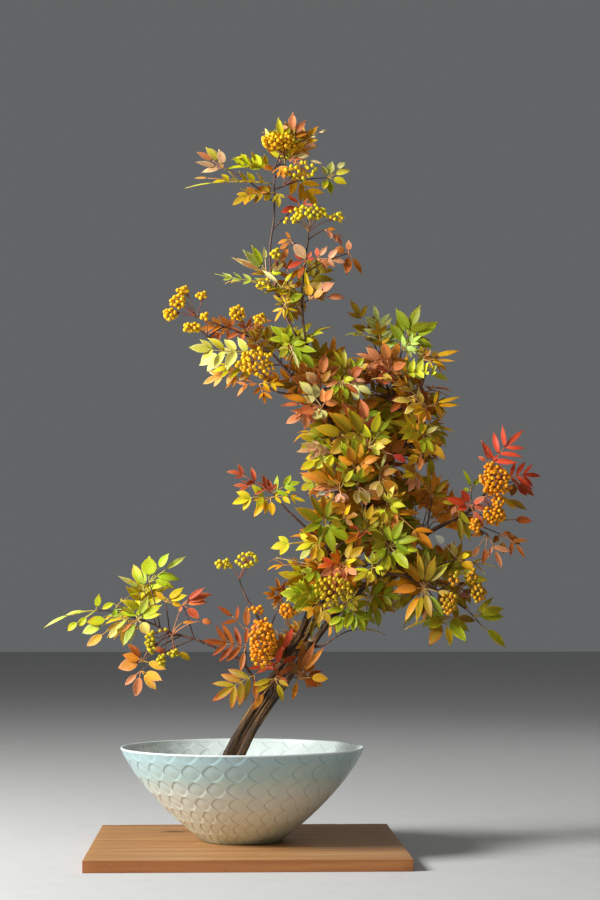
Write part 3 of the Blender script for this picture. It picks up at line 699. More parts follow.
def patches(add, size, detail=2.0, stretch=(1, 1, 1), roughness=0.5, place=None):
    """A pattern of patches about size millimetres wide, on object coordinates or a place given."""
    place = place or add("TexCoord", out="Object")
    place = add("Mapping", {"Vector": place, "Scale": stretch})
    return add("TexNoise", {"Vector": place, "Scale": 1 / (size * MM), "Detail": detail,
                             "Roughness": roughness})


def oiled_beech():
    """Oiled beech: a warm mid-brown with long straight grain, small dark flecks, soft sheen. The
    sawn sides have drunk more oil and are darker."""
    made, add = finish_named("oiled_beech", IOR=1.5)
    bands = patches(add, 16, 3, (0.045, 1, 1), 0.55)
    fibres = patches(add, 2, 4, (0.03, 1, 1), 0.65)
    colour = add("ValToRGB", [bands], stops=[(0.30, "#a57549"), (0.45, "#b28350"), (0.58, "#bd8f5d"),
                                             (0.72, "#c79f6c")])
    share = add("Math", (fibres, 0.40), operation="MULTIPLY")
    colour = add("Mix", {0: share, 6: colour, 7: "#a0683a"}, 2, data_type="RGBA", blend_type="MULTIPLY")
    fleck = add("Math", (patches(add, 1.6, 1, (0.25, 1, 1)), 0.71), operation="GREATER_THAN")
    share = add("Math", (fleck, 0.5), operation="MULTIPLY")
    colour = add("Mix", {0: share, 6: colour, 7: "#4a2512"}, 2, data_type="RGBA")
    coords = add("TexCoord", out="Object")
    for middle, length, breadth, strength in BOARD_STREAKS:
        place = add("VectorMath", (coords, (*middle, 0)), operation="SUBTRACT")
        place = add("VectorMath", (place, (1 / length, 1 / breadth, 0)), operation="MULTIPLY")
        away = add("VectorMath", [place], "Value", operation="LENGTH")
        away = add("Math", (patches(add, 8, 2, (0.3, 1, 1)), 0.8, away), operation="MULTIPLY_ADD")
        streak = add("MapRange", {"Value": away, "From Min": 1.35, "From Max": 0.7, "To Max": strength})
        colour = add("Mix", {0: streak, 6: colour, 7: "#3a2012"}, 2, data_type="RGBA")
    height = add("SeparateXYZ", [coords], "Z")
    sawn = add("Math", (height, BOARD_TOP - MM), operation="LESS_THAN")
    colour = add("Mix", {0: sawn, 6: colour, 7: "#eac7a4"}, 2, data_type="RGBA", blend_type="MULTIPLY")
    rough = add("Math", (fibres, 0.22, 0.40), operation="MULTIPLY_ADD")
    bump = add("Bump", {"Height": fibres, "Distance": 0.25 * MM, "Strength": 0.5})
    return shade(made, {"Base Color": colour, "Roughness": rough, "Normal": bump})


def celadon_glaze():
    """Celadon over carved porcelain: blue-green and thick at the rim and in the cuts, thin and warm
    over the body, green again at the foot, with a soft, slightly uneven gloss."""
    made, add = finish_named("celadon_glaze", Roughness=0.34, IOR=1.5, Coat_Weight=0.12,
                             Coat_Roughness=0.15)
    place = add("UVMap", uv_map="scales")
    powers = []
    for axis in "XY":
        along = add("SeparateXYZ", [place], axis)
        off = add("Math", (along, add("Math", [along], operation="ROUND")), operation="SUBTRACT")
        off = add("Math", [off], operation="ABSOLUTE")
        powers.append(add("Math", (off, SCALE_ROUNDNESS), operation="POWER"))
    size = add("Math", (add("Math", powers, operation="ADD"), 1 / SCALE_ROUNDNESS), operation="POWER")
    inward = add("Math", (SCALE_REACH, size), operation="SUBTRACT")
    step = add("MapRange", {"Value": inward, "From Min": -0.010, "From Max": 0.028},
               interpolation_type="SMOOTHSTEP")
    off = add("Math", [inward], operation="ABSOLUTE")
    line = add("MapRange", {"Value": off, "From Min": 0.026, "From Max": 0.0},
               interpolation_type="SMOOTHSTEP")
    on_wall = add("Math", (add("SeparateXYZ", [place], "Y"), 0.02), operation="GREATER_THAN")
    line = add("Math", (line, on_wall), operation="MULTIPLY")
    level = add("Attribute", out="Fac", attribute_name="level")
    low = add("Math", (level, 0.08), operation="SUBTRACT")
    wander = add("Math", (patches(add, 30, 3), 0.16, low), operation="MULTIPLY_ADD")
    body = add("ValToRGB", [wander], stops=[(0.02, "#a8b69a"), (0.09, "#d8e2cc"), (0.32, "#e0eadd"),
                                            (0.56, "#d4ded6"), (0.74, "#b2cac5"), (0.965, "#a6c0c2")])
    lip = add("MapRange", {"Value": level, "From Min": 0.982, "From Max": 0.996})
    body = add("Mix", {0: lip, 6: body, 7: "#d6e0de"}, 2, data_type="RGBA")
    pool = add("ValToRGB", [wander], stops=[(0.10, "#6f7350"), (0.45, "#8f8463"), (0.75, "#72a09c"),
                                            (0.95, "#7fb0b8")])
    share = add("Math", (line, 0.60), operation="MULTIPLY")
    body = add("Mix", {0: share, 6: body, 7: pool}, 2, data_type="RGBA")
    share = add("Math", (line, 0.45), operation="MULTIPLY")
    pale = add("Mix", {0: share, 6: "#dae6e1", 7: "#9bbdb4"}, 2, data_type="RGBA")
    inside = add("Attribute", out="Fac", attribute_name="inside")
    colour = add("Mix", {0: inside, 6: body, 7: pale}, 2, data_type="RGBA")
    cut = add("Math", (step, on_wall), operation="MULTIPLY")
    uneven = add("Math", (patches(add, 6, 2), 0.12), operation="MULTIPLY")
    height = add("Math", (uneven, cut), operation="SUBTRACT")
    bump = add("Bump", {"Height": height, "Distance": 0.45 * MM, "Strength": 1.0})
    return shade(made, {"Base Color": colour, "Normal": bump})


def still_water():
    """Still water: clear and colourless, seen by its sharp reflection."""
    made, _ = finish_named("still_water", Roughness=0.0, IOR=1.333, Transmission_Weight=1.0)
    return shade(made, {"Base Color": "#f2fbf8"})


def cast_lead():
    """Cast lead gone dull in water: dark grey, blotched with paler oxide."""
    made, add = finish_named("cast_lead", Metallic=0.75, Roughness=0.55)
    colour = add("ValToRGB", [patches(add, 8, 4)], stops=[(0.3, "#3c3d40"), (0.7, "#77787a")])
    bump = add("Bump", {"Height": patches(add, 1.2, 2), "Distance": 0.1 * MM, "Strength": 0.6})
    return shade(made, {"Base Color": colour, "Normal": bump})


def drawn_brass():
    """Drawn brass wire: yellow metal, browner where it has tarnished."""
    made, add = finish_named("drawn_brass", Metallic=1.0, Roughness=0.32)
    colour = add("ValToRGB", [patches(add, 3, 3)], stops=[(0.35, "#8a6a2c"), (0.65, "#c9a24a")])
    return shade(made, {"Base Color": colour})


def rowan_bark():
    """Old rowan bark: dark grey-brown with ochre ridges, long fissures and pale breathing pores,
    all running along the branch."""
    made, add = finish_named("rowan_bark", Roughness=0.82)
    grain = add("Attribute", out="Vector", attribute_name="grain")
    ridges = patches(add, 3, 4, (1, 1, 0.10), 0.55, grain)
    lumps = patches(add, 12, 3, (1, 1, 0.3), 0.5, grain)
    colour = add("ValToRGB", [ridges], stops=[(0.30, "#130c07"), (0.46, "#3a2412"), (0.59, "#735027"),
                                              (0.73, "#b58843")])
    share = add("Math", (lumps, 0.5), operation="MULTIPLY")
    colour = add("Mix", {0: share, 6: colour, 7: "#6b4a30"}, 2, data_type="RGBA", blend_type="OVERLAY")
    pores = patches(add, 1.8, 0, (1, 1, 1.6), 0.5, grain)
    pores = add("Math", (pores, 0.70), operation="GREATER_THAN")
    share = add("Math", (pores, 0.35), operation="MULTIPLY")
    colour = add("Mix", {0: share, 6: colour, 7: "#9a7c54"}, 2, data_type="RGBA")
    raised = add("Math", (pores, 0.3), operation="MULTIPLY")
    height = add("Math", (ridges, raised), operation="ADD")
    bump = add("Bump", {"Height": height, "Distance": 1.0 * MM, "Strength": 0.9})
    return shade(made, {"Base Color": colour, "Normal": bump})


def young_bark():
    """Young rowan shoots: smooth red-brown bark with a dull shine and small pale pores."""
    made, add = finish_named("young_rowan_bark", Roughness=0.55)
    streaks = patches(add, 4, 3, (1, 1, 0.4))
    colour = add("ValToRGB", [streaks], stops=[(0.35, "#2c1913"), (0.55, "#553226"), (0.72, "#7d5040")])
    pores = add("Math", (patches(add, 1.4, 0, (1, 1, 1.4)), 0.68), operation="GREATER_THAN")
    share = add("Math", (pores, 0.5), operation="MULTIPLY")
    colour = add("Mix", {0: share, 6: colour, 7: "#b79a78"}, 2, data_type="RGBA")
    bump = add("Bump", {"Height": streaks, "Distance": 0.3 * MM, "Strength": 0.6})
    return shade(made, {"Base Color": colour, "Normal": bump})


def sawn_wood():
    """Fresh sawn rowan wood: pale, with faint rings."""
    made, add = finish_named("sawn_rowan_wood", Roughness=0.75)
    colour = add("ValToRGB", [patches(add, 2, 3)], stops=[(0.3, "#a98c63"), (0.7, "#cdb68b")])
    return shade(made, {"Base Color": colour})


def leaf_side(name, rough, sheen_of_veins, under):
    """One side of a rowan leaf: its own blade and edge colours, blotched, with pale veins. The
    upper side has a waxy shine and the underside is paler, with a dull down."""
    made, add = finish_named(name, Roughness=rough, IOR=1.42, Specular_IOR_Level=0.32,
                             Subsurface_Weight=0.22, Subsurface_Scale=0.004)
    blade = add("Attribute", attribute_name="blade")
    edge = add("Attribute", attribute_name="edge")
    place = add("UVMap", uv_map="leaf")
    across = add("Math", (add("SeparateXYZ", [place], "X"), 0.5), operation="SUBTRACT")
    across = add("Math", [across], operation="ABSOLUTE")
    along = add("SeparateXYZ", [place], "Y")
    turning = add("Math", (add("Math", (across, 1.1), operation="MULTIPLY"),
                           add("Math", (along, 0.55), operation="MULTIPLY")), operation="ADD")
    blotch = add("Math", (patches(add, 10, 3), 1.0, -0.90), operation="MULTIPLY_ADD")
    turning = add("Math", (turning, blotch), operation="ADD")
    turned = add("MapRange", {"Value": turning, "From Min": 0.05, "From Max": 0.85},
                 interpolation_type="SMOOTHSTEP")
    colour = add("Mix", {0: turned, 6: blade, 7: edge}, 2, data_type="RGBA")
    value = add("Math", (patches(add, 3, 2), 0.2, 0.95), operation="MULTIPLY_ADD")
    colour = add("Mix", {0: 1.0, 6: colour, 7: value}, 2, data_type="RGBA", blend_type="MULTIPLY")
    slant = add("Math", (across, -9.0, add("Math", (along, 12.0), operation="MULTIPLY")),
                operation="MULTIPLY_ADD")
    rib = add("Math", (slant, 0.5), operation="PINGPONG")
    side_vein = add("Math", (rib, 0.07), operation="LESS_THAN")
    side_vein = add("Math", (side_vein, 0.4), operation="MULTIPLY")
    midrib = add("Math", (across, 0.030), operation="LESS_THAN")
    vein = add("Math", (side_vein, midrib), operation="MAXIMUM")
    share = add("Math", (vein, sheen_of_veins), operation="MULTIPLY")
    colour = add("Mix", {0: share, 6: colour, 7: "#dcc060"}, 2, data_type="RGBA")
    spots = add("Math", (patches(add, 4.5, 1), 0.77), operation="GREATER_THAN")
    share = add("Math", (spots, 0.32), operation="MULTIPLY")
    colour = add("Mix", {0: share, 6: colour, 7: "#5e3314"}, 2, data_type="RGBA")
    if under:
        colour = add("Mix", {0: 0.16, 6: colour, 7: "#cfb060"}, 2, data_type="RGBA")
    height = add("Math", (1.0, vein), operation="SUBTRACT")
    bump = add("Bump", {"Height": height, "Distance": 0.20 * MM, "Strength": 0.7 if under else 0.5})
    return shade(made, {"Base Color": colour, "Normal": bump})


def leaf_stalk():
    """Leaf and fruit stalks: fleshy, their own green or red, darker in streaks."""
    made, add = finish_named("rowan_leaf_stalk", Roughness=0.5)
    tint = add("Attribute", attribute_name="blade")
    dark = add("Math", (patches(add, 6, 2), 0.7, 0.6), operation="MULTIPLY_ADD")
    colour = add("Mix", {0: 1.0, 6: tint, 7: dark}, 2, data_type="RGBA", blend_type="MULTIPLY")
    return shade(made, {"Base Color": colour})


def berry_skin():
    """Rowan fruit: a taut waxy skin with a soft highlight, each fruit its own yellow or orange."""
    made, add = finish_named("rowan_fruit_skin", Roughness=0.34, IOR=1.45, Specular_IOR_Level=0.28,
                             Subsurface_Weight=0.15, Subsurface_Scale=0.003)
    tint = add("Attribute", attribute_name="blade")
    blush = add("Attribute", attribute_name="edge")
    cloud = add("MapRange", {"Value": patches(add, 5, 2), "From Min": 0.4, "From Max": 0.7})
    colour = add("Mix", {0: cloud, 6: tint, 7: blush}, 2, data_type="RGBA")
    return shade(made, {"Base Color": colour})


def berry_calyx():
    """The dry remains of the flower under each fruit: a small dark brown star."""
    made, _ = finish_named("rowan_fruit_calyx", Roughness=0.9)
    return shade(made, {"Base Color": "#2b1a0e"})


def studio_paper():
    """Matt studio background paper, pale grey."""
    made, add = finish_named("studio_paper", Roughness=0.9)
    colour = add("ValToRGB", [patches(add, 50, 2)], stops=[(0.3, "#bfbfbd"), (0.7, "#c3c3c1")])
    return shade(made, {"Base Color": colour})


# ---- Modelling by operators ----

def select_only(*pieces):
    """Selects these pieces alone, the first one active, because operators act on all selected."""
    bpy.ops.object.select_all(action="DESELECT")
    for piece in pieces:
        piece.select_set(True)
    bpy.context.view_layer.objects.active = pieces[0]


def begin_edit(piece, action="SELECT"):
    """Edit mode on this piece alone, with all of it selected, or none, or as it was."""
    select_only(piece)
    bpy.ops.object.mode_set(mode="EDIT")
    if action:
        bpy.ops.mesh.select_all(action=action)


def end_edit():
    """Back to object mode."""
    bpy.ops.object.mode_set(mode="OBJECT")


def settle(obj, name, *materials):
    """Names a finished object, puts its place into its mesh and gives it its materials."""
    select_only(obj)
    bpy.ops.object.transform_apply(location=True, rotation=True, scale=True)
    obj.name = name
    obj.data.name = name
    obj.data.materials.clear()
    for material in materials:
        obj.data.materials.append(material)
    return obj


def stands_for(piece, slot, *nodes):
    """Puts a piece on the body, in place of its nodes and in its material slot."""
    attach(piece, "root")
    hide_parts(*nodes)


def points_of(mesh):
    """A mesh's points as rows of x, y and z."""
    points = np.empty(len(mesh.vertices) * 3, np.float32)
    mesh.vertices.foreach_get("co", points)
    return points.reshape(-1, 3).astype(float)


def set_points(mesh, points):
    """Moves a mesh's points to the rows given."""
    mesh.vertices.foreach_set("co", points.astype(np.float32).ravel())
    mesh.update()


def set_attribute(mesh, name, values):
    """Keeps a number or a colour for each point."""
    coloured = values.ndim == 2
    made = mesh.attributes.new(name, "FLOAT_COLOR" if coloured else "FLOAT", "POINT")
    made.data.foreach_set("color" if coloured else "value", values.astype(np.float32).ravel())


# ---- Board ----

def make_board():
    """A planed board, its edges eased and a little dented by use."""
    low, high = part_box("display_board")
    size = high - low
    bpy.ops.mesh.primitive_cube_add(size=1, location=(low + high) / 2)
    board = bpy.context.object
    board.scale = size
    bpy.ops.object.transform_apply(location=False, rotation=False, scale=True)
    begin_edit(board)
    bpy.ops.mesh.subdivide(number_cuts=24)
    end_edit()
    bevel = board.modifiers.new("eased_edges", "BEVEL")
    bevel.width = 1.4 * MM
    bevel.segments = 3
    bpy.ops.object.modifier_apply(modifier="eased_edges")
    settle(board, "board", oiled_beech())
    dent_edges(board.data, np.array((low + high) / 2), np.array(size) / 2)
    board.data.shade_smooth()
    board.data.set_sharp_from_angle(angle=CREASE)
    stands_for(board, "board_wood", "display_board")


def dent_edges(mesh, middle, half):
    """Presses the points near two or more sides of a box in by up to half a millimetre."""
    points = points_of(mesh)
    for index, point in enumerate(points):
        near = (np.abs(point - middle) > half - 2 * MM).sum()
        if near >= 2:
            dent = noise.noise(Vector(point) * 60) * 0.5 * MM
            points[index] = point - np.sign(point - middle) * abs(dent)
    set_points(mesh, points)


# ---- Bowl, water and pin holder ----

def wall_curve(start, belly, end, steps):
    """Points (radius, height) of a wall from start to end, bowed towards the belly point."""
    low, middle, high = (np.array(point, float) for point in (start, belly, end))
    near_low = low + (middle - low) * 2 / 3
    near_high = high + (middle - high) * 2 / 3
    t = np.linspace(0, 1, steps + 1)[:, None]
    return (low * (1 - t) ** 3 + 3 * near_low * t * (1 - t) ** 2
            + 3 * near_high * t ** 2 * (1 - t) + high * t ** 3)


def evenly(curve, steps):
    """The same line with evenly spaced points."""
    lengths = np.concatenate([[0], np.cumsum(np.linalg.norm(np.diff(curve, axis=0), axis=1))])
    wanted = np.linspace(0, lengths[-1], steps + 1)
    return np.column_stack([np.interp(wanted, lengths, curve[:, axis]) for axis in (0, 1)])


def scale_rows(curve):
    """How many scale rows lie between each point of a wall and the rim."""
    steps = np.linalg.norm(np.diff(curve, axis=0), axis=1)
    radii = (curve[1:, 0] + curve[:-1, 0]) / 2
    heights = SCALE_HEIGHT * (radii / RIM_RADIUS) ** SCALE_SHRINK
    rows = np.concatenate([[0], np.cumsum(steps / heights)])
    return rows[-1] - rows


def carving(columns, rows):
    """How deep the carving goes, 0 to 1: a rounded scale drops sharply at its outline and rises
    again to its middle, and the four-pointed ground between scales stays high."""
    across = np.abs(columns - np.round(columns))
    up = np.abs(rows - np.round(rows))
    size = (across ** SCALE_ROUNDNESS + up ** SCALE_ROUNDNESS) ** (1 / SCALE_ROUNDNESS)
    inward = SCALE_REACH - size
    return np.clip(inward / 0.045, 0, 1) * np.exp(-np.clip(inward, 0, None) / SCALE_FADE)


def turned_shape(profile, steps):
    """A closed shape turned round the upright axis from (radius, height above the board) points."""
    bpy.ops.mesh.primitive_plane_add(size=MM)
    made = bpy.context.object
    made.data.clear_geometry()
    made.data.from_pydata([(radius, 0, height + BOWL_BASE) for radius, height in profile],
                          [(index, index + 1) for index in range(len(profile) - 1)], [])
    begin_edit(made)
    bpy.ops.mesh.spin(steps=steps, angle=2 * math.pi, center=(0, 0, 0), axis=(0, 0, 1))
    bpy.ops.mesh.select_all(action="SELECT")
    bpy.ops.mesh.remove_doubles(threshold=MERGE_GAP)
    bpy.ops.mesh.normals_make_consistent(inside=False)
    end_edit()
    return made


def make_bowl():
    """The bowl turned from one profile, its foot hollowed and its lip round, and then carved."""
    outer = evenly(wall_curve((FOOT_RADIUS, 0), BELLY, (RIM_RADIUS, BOWL_HEIGHT), 400), 102)
    inner = evenly(wall_curve((FLOOR_RADIUS, FLOOR_HEIGHT), INNER_BELLY,
                              (RIM_RADIUS - WALL, BOWL_HEIGHT), 400), 34)
    recess_radius, recess_height = FOOT_RECESS
    foot = [(0, recess_height), (recess_radius - 2 * MM, recess_height), (recess_radius, 0)]
    turns = np.linspace(0, math.pi, 7)[1:-1]
    middle = RIM_RADIUS - WALL / 2
    lip = [(middle + WALL / 2 * math.cos(a), BOWL_HEIGHT + WALL / 3 * math.sin(a)) for a in turns]
    floor = [(FLOOR_RADIUS * 0.5, FLOOR_HEIGHT), (0, FLOOR_HEIGHT)]
    bowl = turned_shape([*foot, *outer, *lip, *inner[::-1], *floor], BOWL_STEPS)
    carve_bowl(bowl, outer, inner)
    settle(bowl, "celadon_bowl", celadon_glaze())
    bowl.data.shade_smooth()
    stands_for(bowl, "celadon_glaze", "bowl")


def carve_bowl(bowl, outer, inner):
    """Presses the scales into both walls, fading at the foot and the lip, and keeps for the glaze
    where each point lies among them, how high it is and whether it is inside."""
    mesh = bowl.data
    points = points_of(mesh)
    radius = np.hypot(points[:, 0], points[:, 1])
    height = points[:, 2] - BOWL_BASE
    columns = np.arctan2(points[:, 0], -points[:, 1]) / (2 * math.pi) * SCALES_AROUND
    columns = columns + SCALE_TURN
    inside_radius = np.interp(height, inner[:, 1], inner[:, 0])
    outside_radius = np.interp(height, outer[:, 1], outer[:, 0])
    on_wall = (height > 1.2 * MM) & (height <= BOWL_HEIGHT)
    is_outer = on_wall & (np.abs(radius - outside_radius) < 0.2 * MM)
    is_inner = on_wall & (np.abs(radius - inside_radius) < 0.2 * MM) & (height > FLOOR_HEIGHT + MM)
    rows_down = np.full(len(points), -1.0)
    for chosen, curve, depth, sign in ((is_outer, outer, SCALE_DEPTH_OUTSIDE, -1),
                                       (is_inner, inner, SCALE_DEPTH_INSIDE, 1)):
        rows = np.interp(height[chosen], curve[:, 1], scale_rows(curve))
        rows_down[chosen] = rows
        hollow = carving(columns[chosen], rows)
        ends = np.clip((BOWL_HEIGHT - height[chosen]) / (4 * MM), 0, 1)
        ends = ends * np.clip((height[chosen] - 2 * MM) / (6 * MM), 0, 1)
        slope = np.gradient(curve[:, 0], curve[:, 1])
        tilt = np.interp(height[chosen], curve[:, 1], slope)
        length = np.sqrt(1 + tilt * tilt)
        push = sign * depth * hollow * ends
        outward = points[chosen, :2] / radius[chosen, None]
        points[chosen, :2] += outward * (push / length)[:, None]
        points[chosen, 2] -= push * tilt / length
    set_points(mesh, points)
    layer = mesh.uv_layers.new(name="scales")
    for face in mesh.polygons:
        across = columns[list(face.vertices)]
        across = np.where(across.max() - across > SCALES_AROUND / 2, across + SCALES_AROUND, across)
        for corner, vertex, column in zip(face.loop_indices, face.vertices, across):
            layer.data[corner].uv = (column, rows_down[vertex])
    set_attribute(mesh, "level", height / BOWL_HEIGHT)
    inward = (height > FLOOR_HEIGHT - 2 * MM) & (radius < (inside_radius + outside_radius) / 2)
    set_attribute(mesh, "inside", inward.astype(float))


def make_water():
    """The water as a turned lens with a small lip where it climbs the wall."""
    inner = wall_curve((FLOOR_RADIUS, FLOOR_HEIGHT), INNER_BELLY, (RIM_RADIUS - WALL, BOWL_HEIGHT), 60)
    surface = FLOOR_HEIGHT + WATER_DEPTH
    wet = [(r + 0.1 * MM, h + 0.2 * MM) for r, h in inner if h < surface]
    edge = float(np.interp(surface, inner[:, 1], inner[:, 0]))
    climb = [(edge + 0.1 * MM, surface + 0.6 * MM), (edge - 1.5 * MM, surface + 0.1 * MM),
             (edge - 4 * MM, surface), (0, surface)]
    water = turned_shape([(0, FLOOR_HEIGHT + 0.2 * MM), *wet, *climb], WATER_STEPS)
    settle(water, "bowl_water", still_water())
    water.data.shade_smooth()
    water.data.set_sharp_from_angle(angle=CREASE)
    stands_for(water, "water", "water")


def make_pin_holder():
    """The pin holder: a cast base, its edges rounded by the mould, and then its pins."""
    low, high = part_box("kenzan_base")
    middle = (low + high) / 2
    radius = (high.x - low.x) / 2
    bpy.ops.mesh.primitive_cylinder_add(vertices=72, radius=radius, depth=high.z - low.z, location=middle)
    base = bpy.context.object
    bevel = base.modifiers.new("cast_edge", "BEVEL")
    bevel.width = 1.6 * MM
    bevel.segments = 3
    bevel.limit_method = "ANGLE"
    bpy.ops.object.modifier_apply(modifier="cast_edge")
    settle(base, "pin_holder_base", cast_lead())
    base.data.shade_smooth()
    base.data.set_sharp_from_angle(angle=CREASE)
    stands_for(base, "kenzan_metal", "kenzan_base")
    make_pins(middle, radius)


def make_pins(middle, radius):
    """One pin, and its copies in staggered rows over the base, joined to one piece."""
    low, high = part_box("kenzan_pins")
    height = high.z - low.z
    bpy.ops.mesh.primitive_cone_add(vertices=6, radius1=PIN_RADIUS, radius2=PIN_TIP_RADIUS, depth=height)
    pin = bpy.context.object
    pins = [pin]
    rows = int(radius / PIN_PITCH)
    for row in range(-rows, rows + 1):
        for column in range(-rows, rows + 1):
            x = (column + 0.5 * (row % 2)) * PIN_PITCH
            y = row * PIN_PITCH * math.sqrt(3) / 2
            if math.hypot(x, y) < radius - PIN_MARGIN and (row, column) != (0, 0):
                copy = pin.copy()
                copy.data = pin.data.copy()
                bpy.context.collection.objects.link(copy)
                copy.location = (middle.x + x, middle.y + y, low.z + height / 2)
                pins.append(copy)
    pin.location = (middle.x, middle.y, low.z + height / 2)
    select_only(*pins)
    bpy.ops.object.join()
    settle(pin, "pin_holder_pins", drawn_brass())
    stands_for(pin, "kenzan_brass", "kenzan_pins")


# ---- Branches ----

OLD_BARK, NEW_BARK, CUT_END = 0, 1, 2


def smooth_path(points, steps):
    """Points on a Catmull-Rom curve through the given (x, y, z, radius) points."""
    ends = np.array([points[0], *points, points[-1]], float)
    t = np.linspace(0, 1, steps, endpoint=False)[:, None]
    path = []
    for before, start, end, after in zip(ends, ends[1:], ends[2:], ends[3:]):
        path.append(0.5 * (2 * start + (end - before) * t
                           + (2 * before - 5 * start + 4 * end - after) * t * t
                           + (3 * start - before - 3 * end + after) * t ** 3))
    path.append(ends[-1:])
    return np.concatenate(path)


def in_metres(points):
    """Points given in centimetres, in metres."""
    return [tuple(value * CM for value in point) for point in points]


def tube(path, sides):
    """Rings of points along (x, y, z, radius) and the faces round them, with both ends closed."""
    centres = path[:, :3]
    count = len(path)
    ahead = np.gradient(centres, axis=0)
    ahead /= np.linalg.norm(ahead, axis=1)[:, None]
    across = np.cross(ahead[0], (0.3, 1.0, 0.2))
    turns = 2 * math.pi * np.arange(sides) / sides
    points = np.empty((count, sides, 3))
    for index in range(count):
        across = across - ahead[index] * (across @ ahead[index])
        across = across / np.linalg.norm(across)
        other = np.cross(ahead[index], across)
        ring = np.cos(turns)[:, None] * across + np.sin(turns)[:, None] * other
        points[index] = centres[index] + path[index, 3] * ring
    side = np.arange(sides)
    following = (side + 1) % sides
    rows = np.arange(count - 1)[:, None] * sides
    quads = np.stack([rows + side, rows + following, rows + sides + following, rows + sides + side], axis=-1)
    faces = [tuple(face) for face in quads.reshape(-1, 4).tolist()]
    faces.append(tuple(range(sides - 1, -1, -1)))
    faces.append(tuple(range((count - 1) * sides, count * sides)))
    return points.reshape(-1, 3), faces


def roughened(points, path, sides, number):
    """A branch's points pushed in and out in lumps and ridges where it is thick, and its grain:
    each point's place round and along its own line, one line a metre on from the next."""
    centres = np.repeat(path[:, :3], sides, axis=0)
    radii = np.repeat(path[:, 3], sides)
    turns = np.tile(np.arange(sides) * 2 * math.pi / sides, len(path))
    steps = np.linalg.norm(np.diff(path[:, :3], axis=0), axis=1)
    along = np.repeat(np.concatenate([[0], np.cumsum(steps)]), sides)
    grain = np.column_stack([radii * np.cos(turns), radii * np.sin(turns), along + number,
                             np.ones(len(along))])
    for index, (point, centre, radius) in enumerate(zip(points, centres, radii)):
        round_stem, beside, up_stem, _ = grain[index]
        lump = noise.noise(Vector((round_stem, beside, up_stem * 0.45)) * 90) * 0.16
        ridge = noise.noise(Vector((round_stem * 420, beside * 420, up_stem * 40))) * 0.12
        old = min(radius / (5 * MM), 1)
        points[index] = centre + (point - centre) * (1 + (lump + ridge) * old)
    return points, grain


def make_stem(name, lines):
    """One branch with its side branches: knotted and ridged below, smooth and thin above."""
    points, faces, kinds, grains = [], [], [], []
    for number, line in enumerate(lines):
        sides = 20 if number == 0 else 12
        path = smooth_path(in_metres(line), 10)
        made, rings = tube(path, sides)
        made, grain = roughened(made, path, sides, number)
        grains.append(grain)
        start = sum(len(part) for part in points)
        points.append(made)
        faces += [tuple(start + corner for corner in face) for face in rings]
        kind = OLD_BARK if path[0, 3] > 3.2 * MM else NEW_BARK
        kinds += [kind] * (len(rings) - 1) + [CUT_END if path[-1, 3] > 3 * MM else kind]
    mesh = bpy.data.meshes.new(name)
    mesh.from_pydata(np.concatenate(points).tolist(), [], faces)
    stem = bpy.data.objects.new(name, mesh)
    bpy.context.collection.objects.link(stem)
    settle(stem, name + "_branch", BARK, YOUNG_BARK, SAWN_WOOD)
    mesh.polygons.foreach_set("material_index", kinds)
    set_attribute(mesh, "grain", np.concatenate(grains))
    mesh.shade_smooth()
    mesh.set_sharp_from_angle(angle=BARK_CREASE)
    stands_for(stem, "rowan_bark", name)


def stem_places():
    """Every sampled place on the branches: its point, radius, line and place along the line."""
    rows = []
    for lines in STEMS.values():
        for line in lines:
            path = smooth_path(in_metres(line), 4)
            rows += [(path, index) for index in range(len(path))]
    return rows, np.array([path[index, :3] for path, index in rows])


def shoot_path(end, radius):
    """A thin shoot's line from the nearest branch up to end, or a stub if end is on the branch."""
    end = np.array(end)
    distances = np.linalg.norm(PLACES - end, axis=1)
    nearest = int(distances.argmin())
    path, index = PLACE_ROWS[nearest]
    back = 0.6 * distances[nearest]
    while index > 0 and back > 0 and index < len(path) - 1:
        back -= np.linalg.norm(path[index, :3] - path[index - 1, :3])
        index -= 1
    root = path[index, :3]
    if np.linalg.norm(end - root) < MM:
        root = end - (0, 0, 2 * MM)
    length = np.linalg.norm(end - root)
    middle = (root + end) / 2 + np.array((0, 0, 0.06 * length))
    line = [(*root, radius * 1.25), (*middle, radius), (*end, radius * 0.85)]
    return smooth_path(line, 5)


# ---- Leaves ----

UPPER, UNDER, STALK, SHOOT = 0, 1, 2, 3


def leaf_outline(t):
    """Half the width of a leaflet along its length: rounded at the stalk, drawn out at the tip."""
    return (1 - (2 * t ** 0.86 - 1) ** 2) ** (0.72 + 0.85 * t)


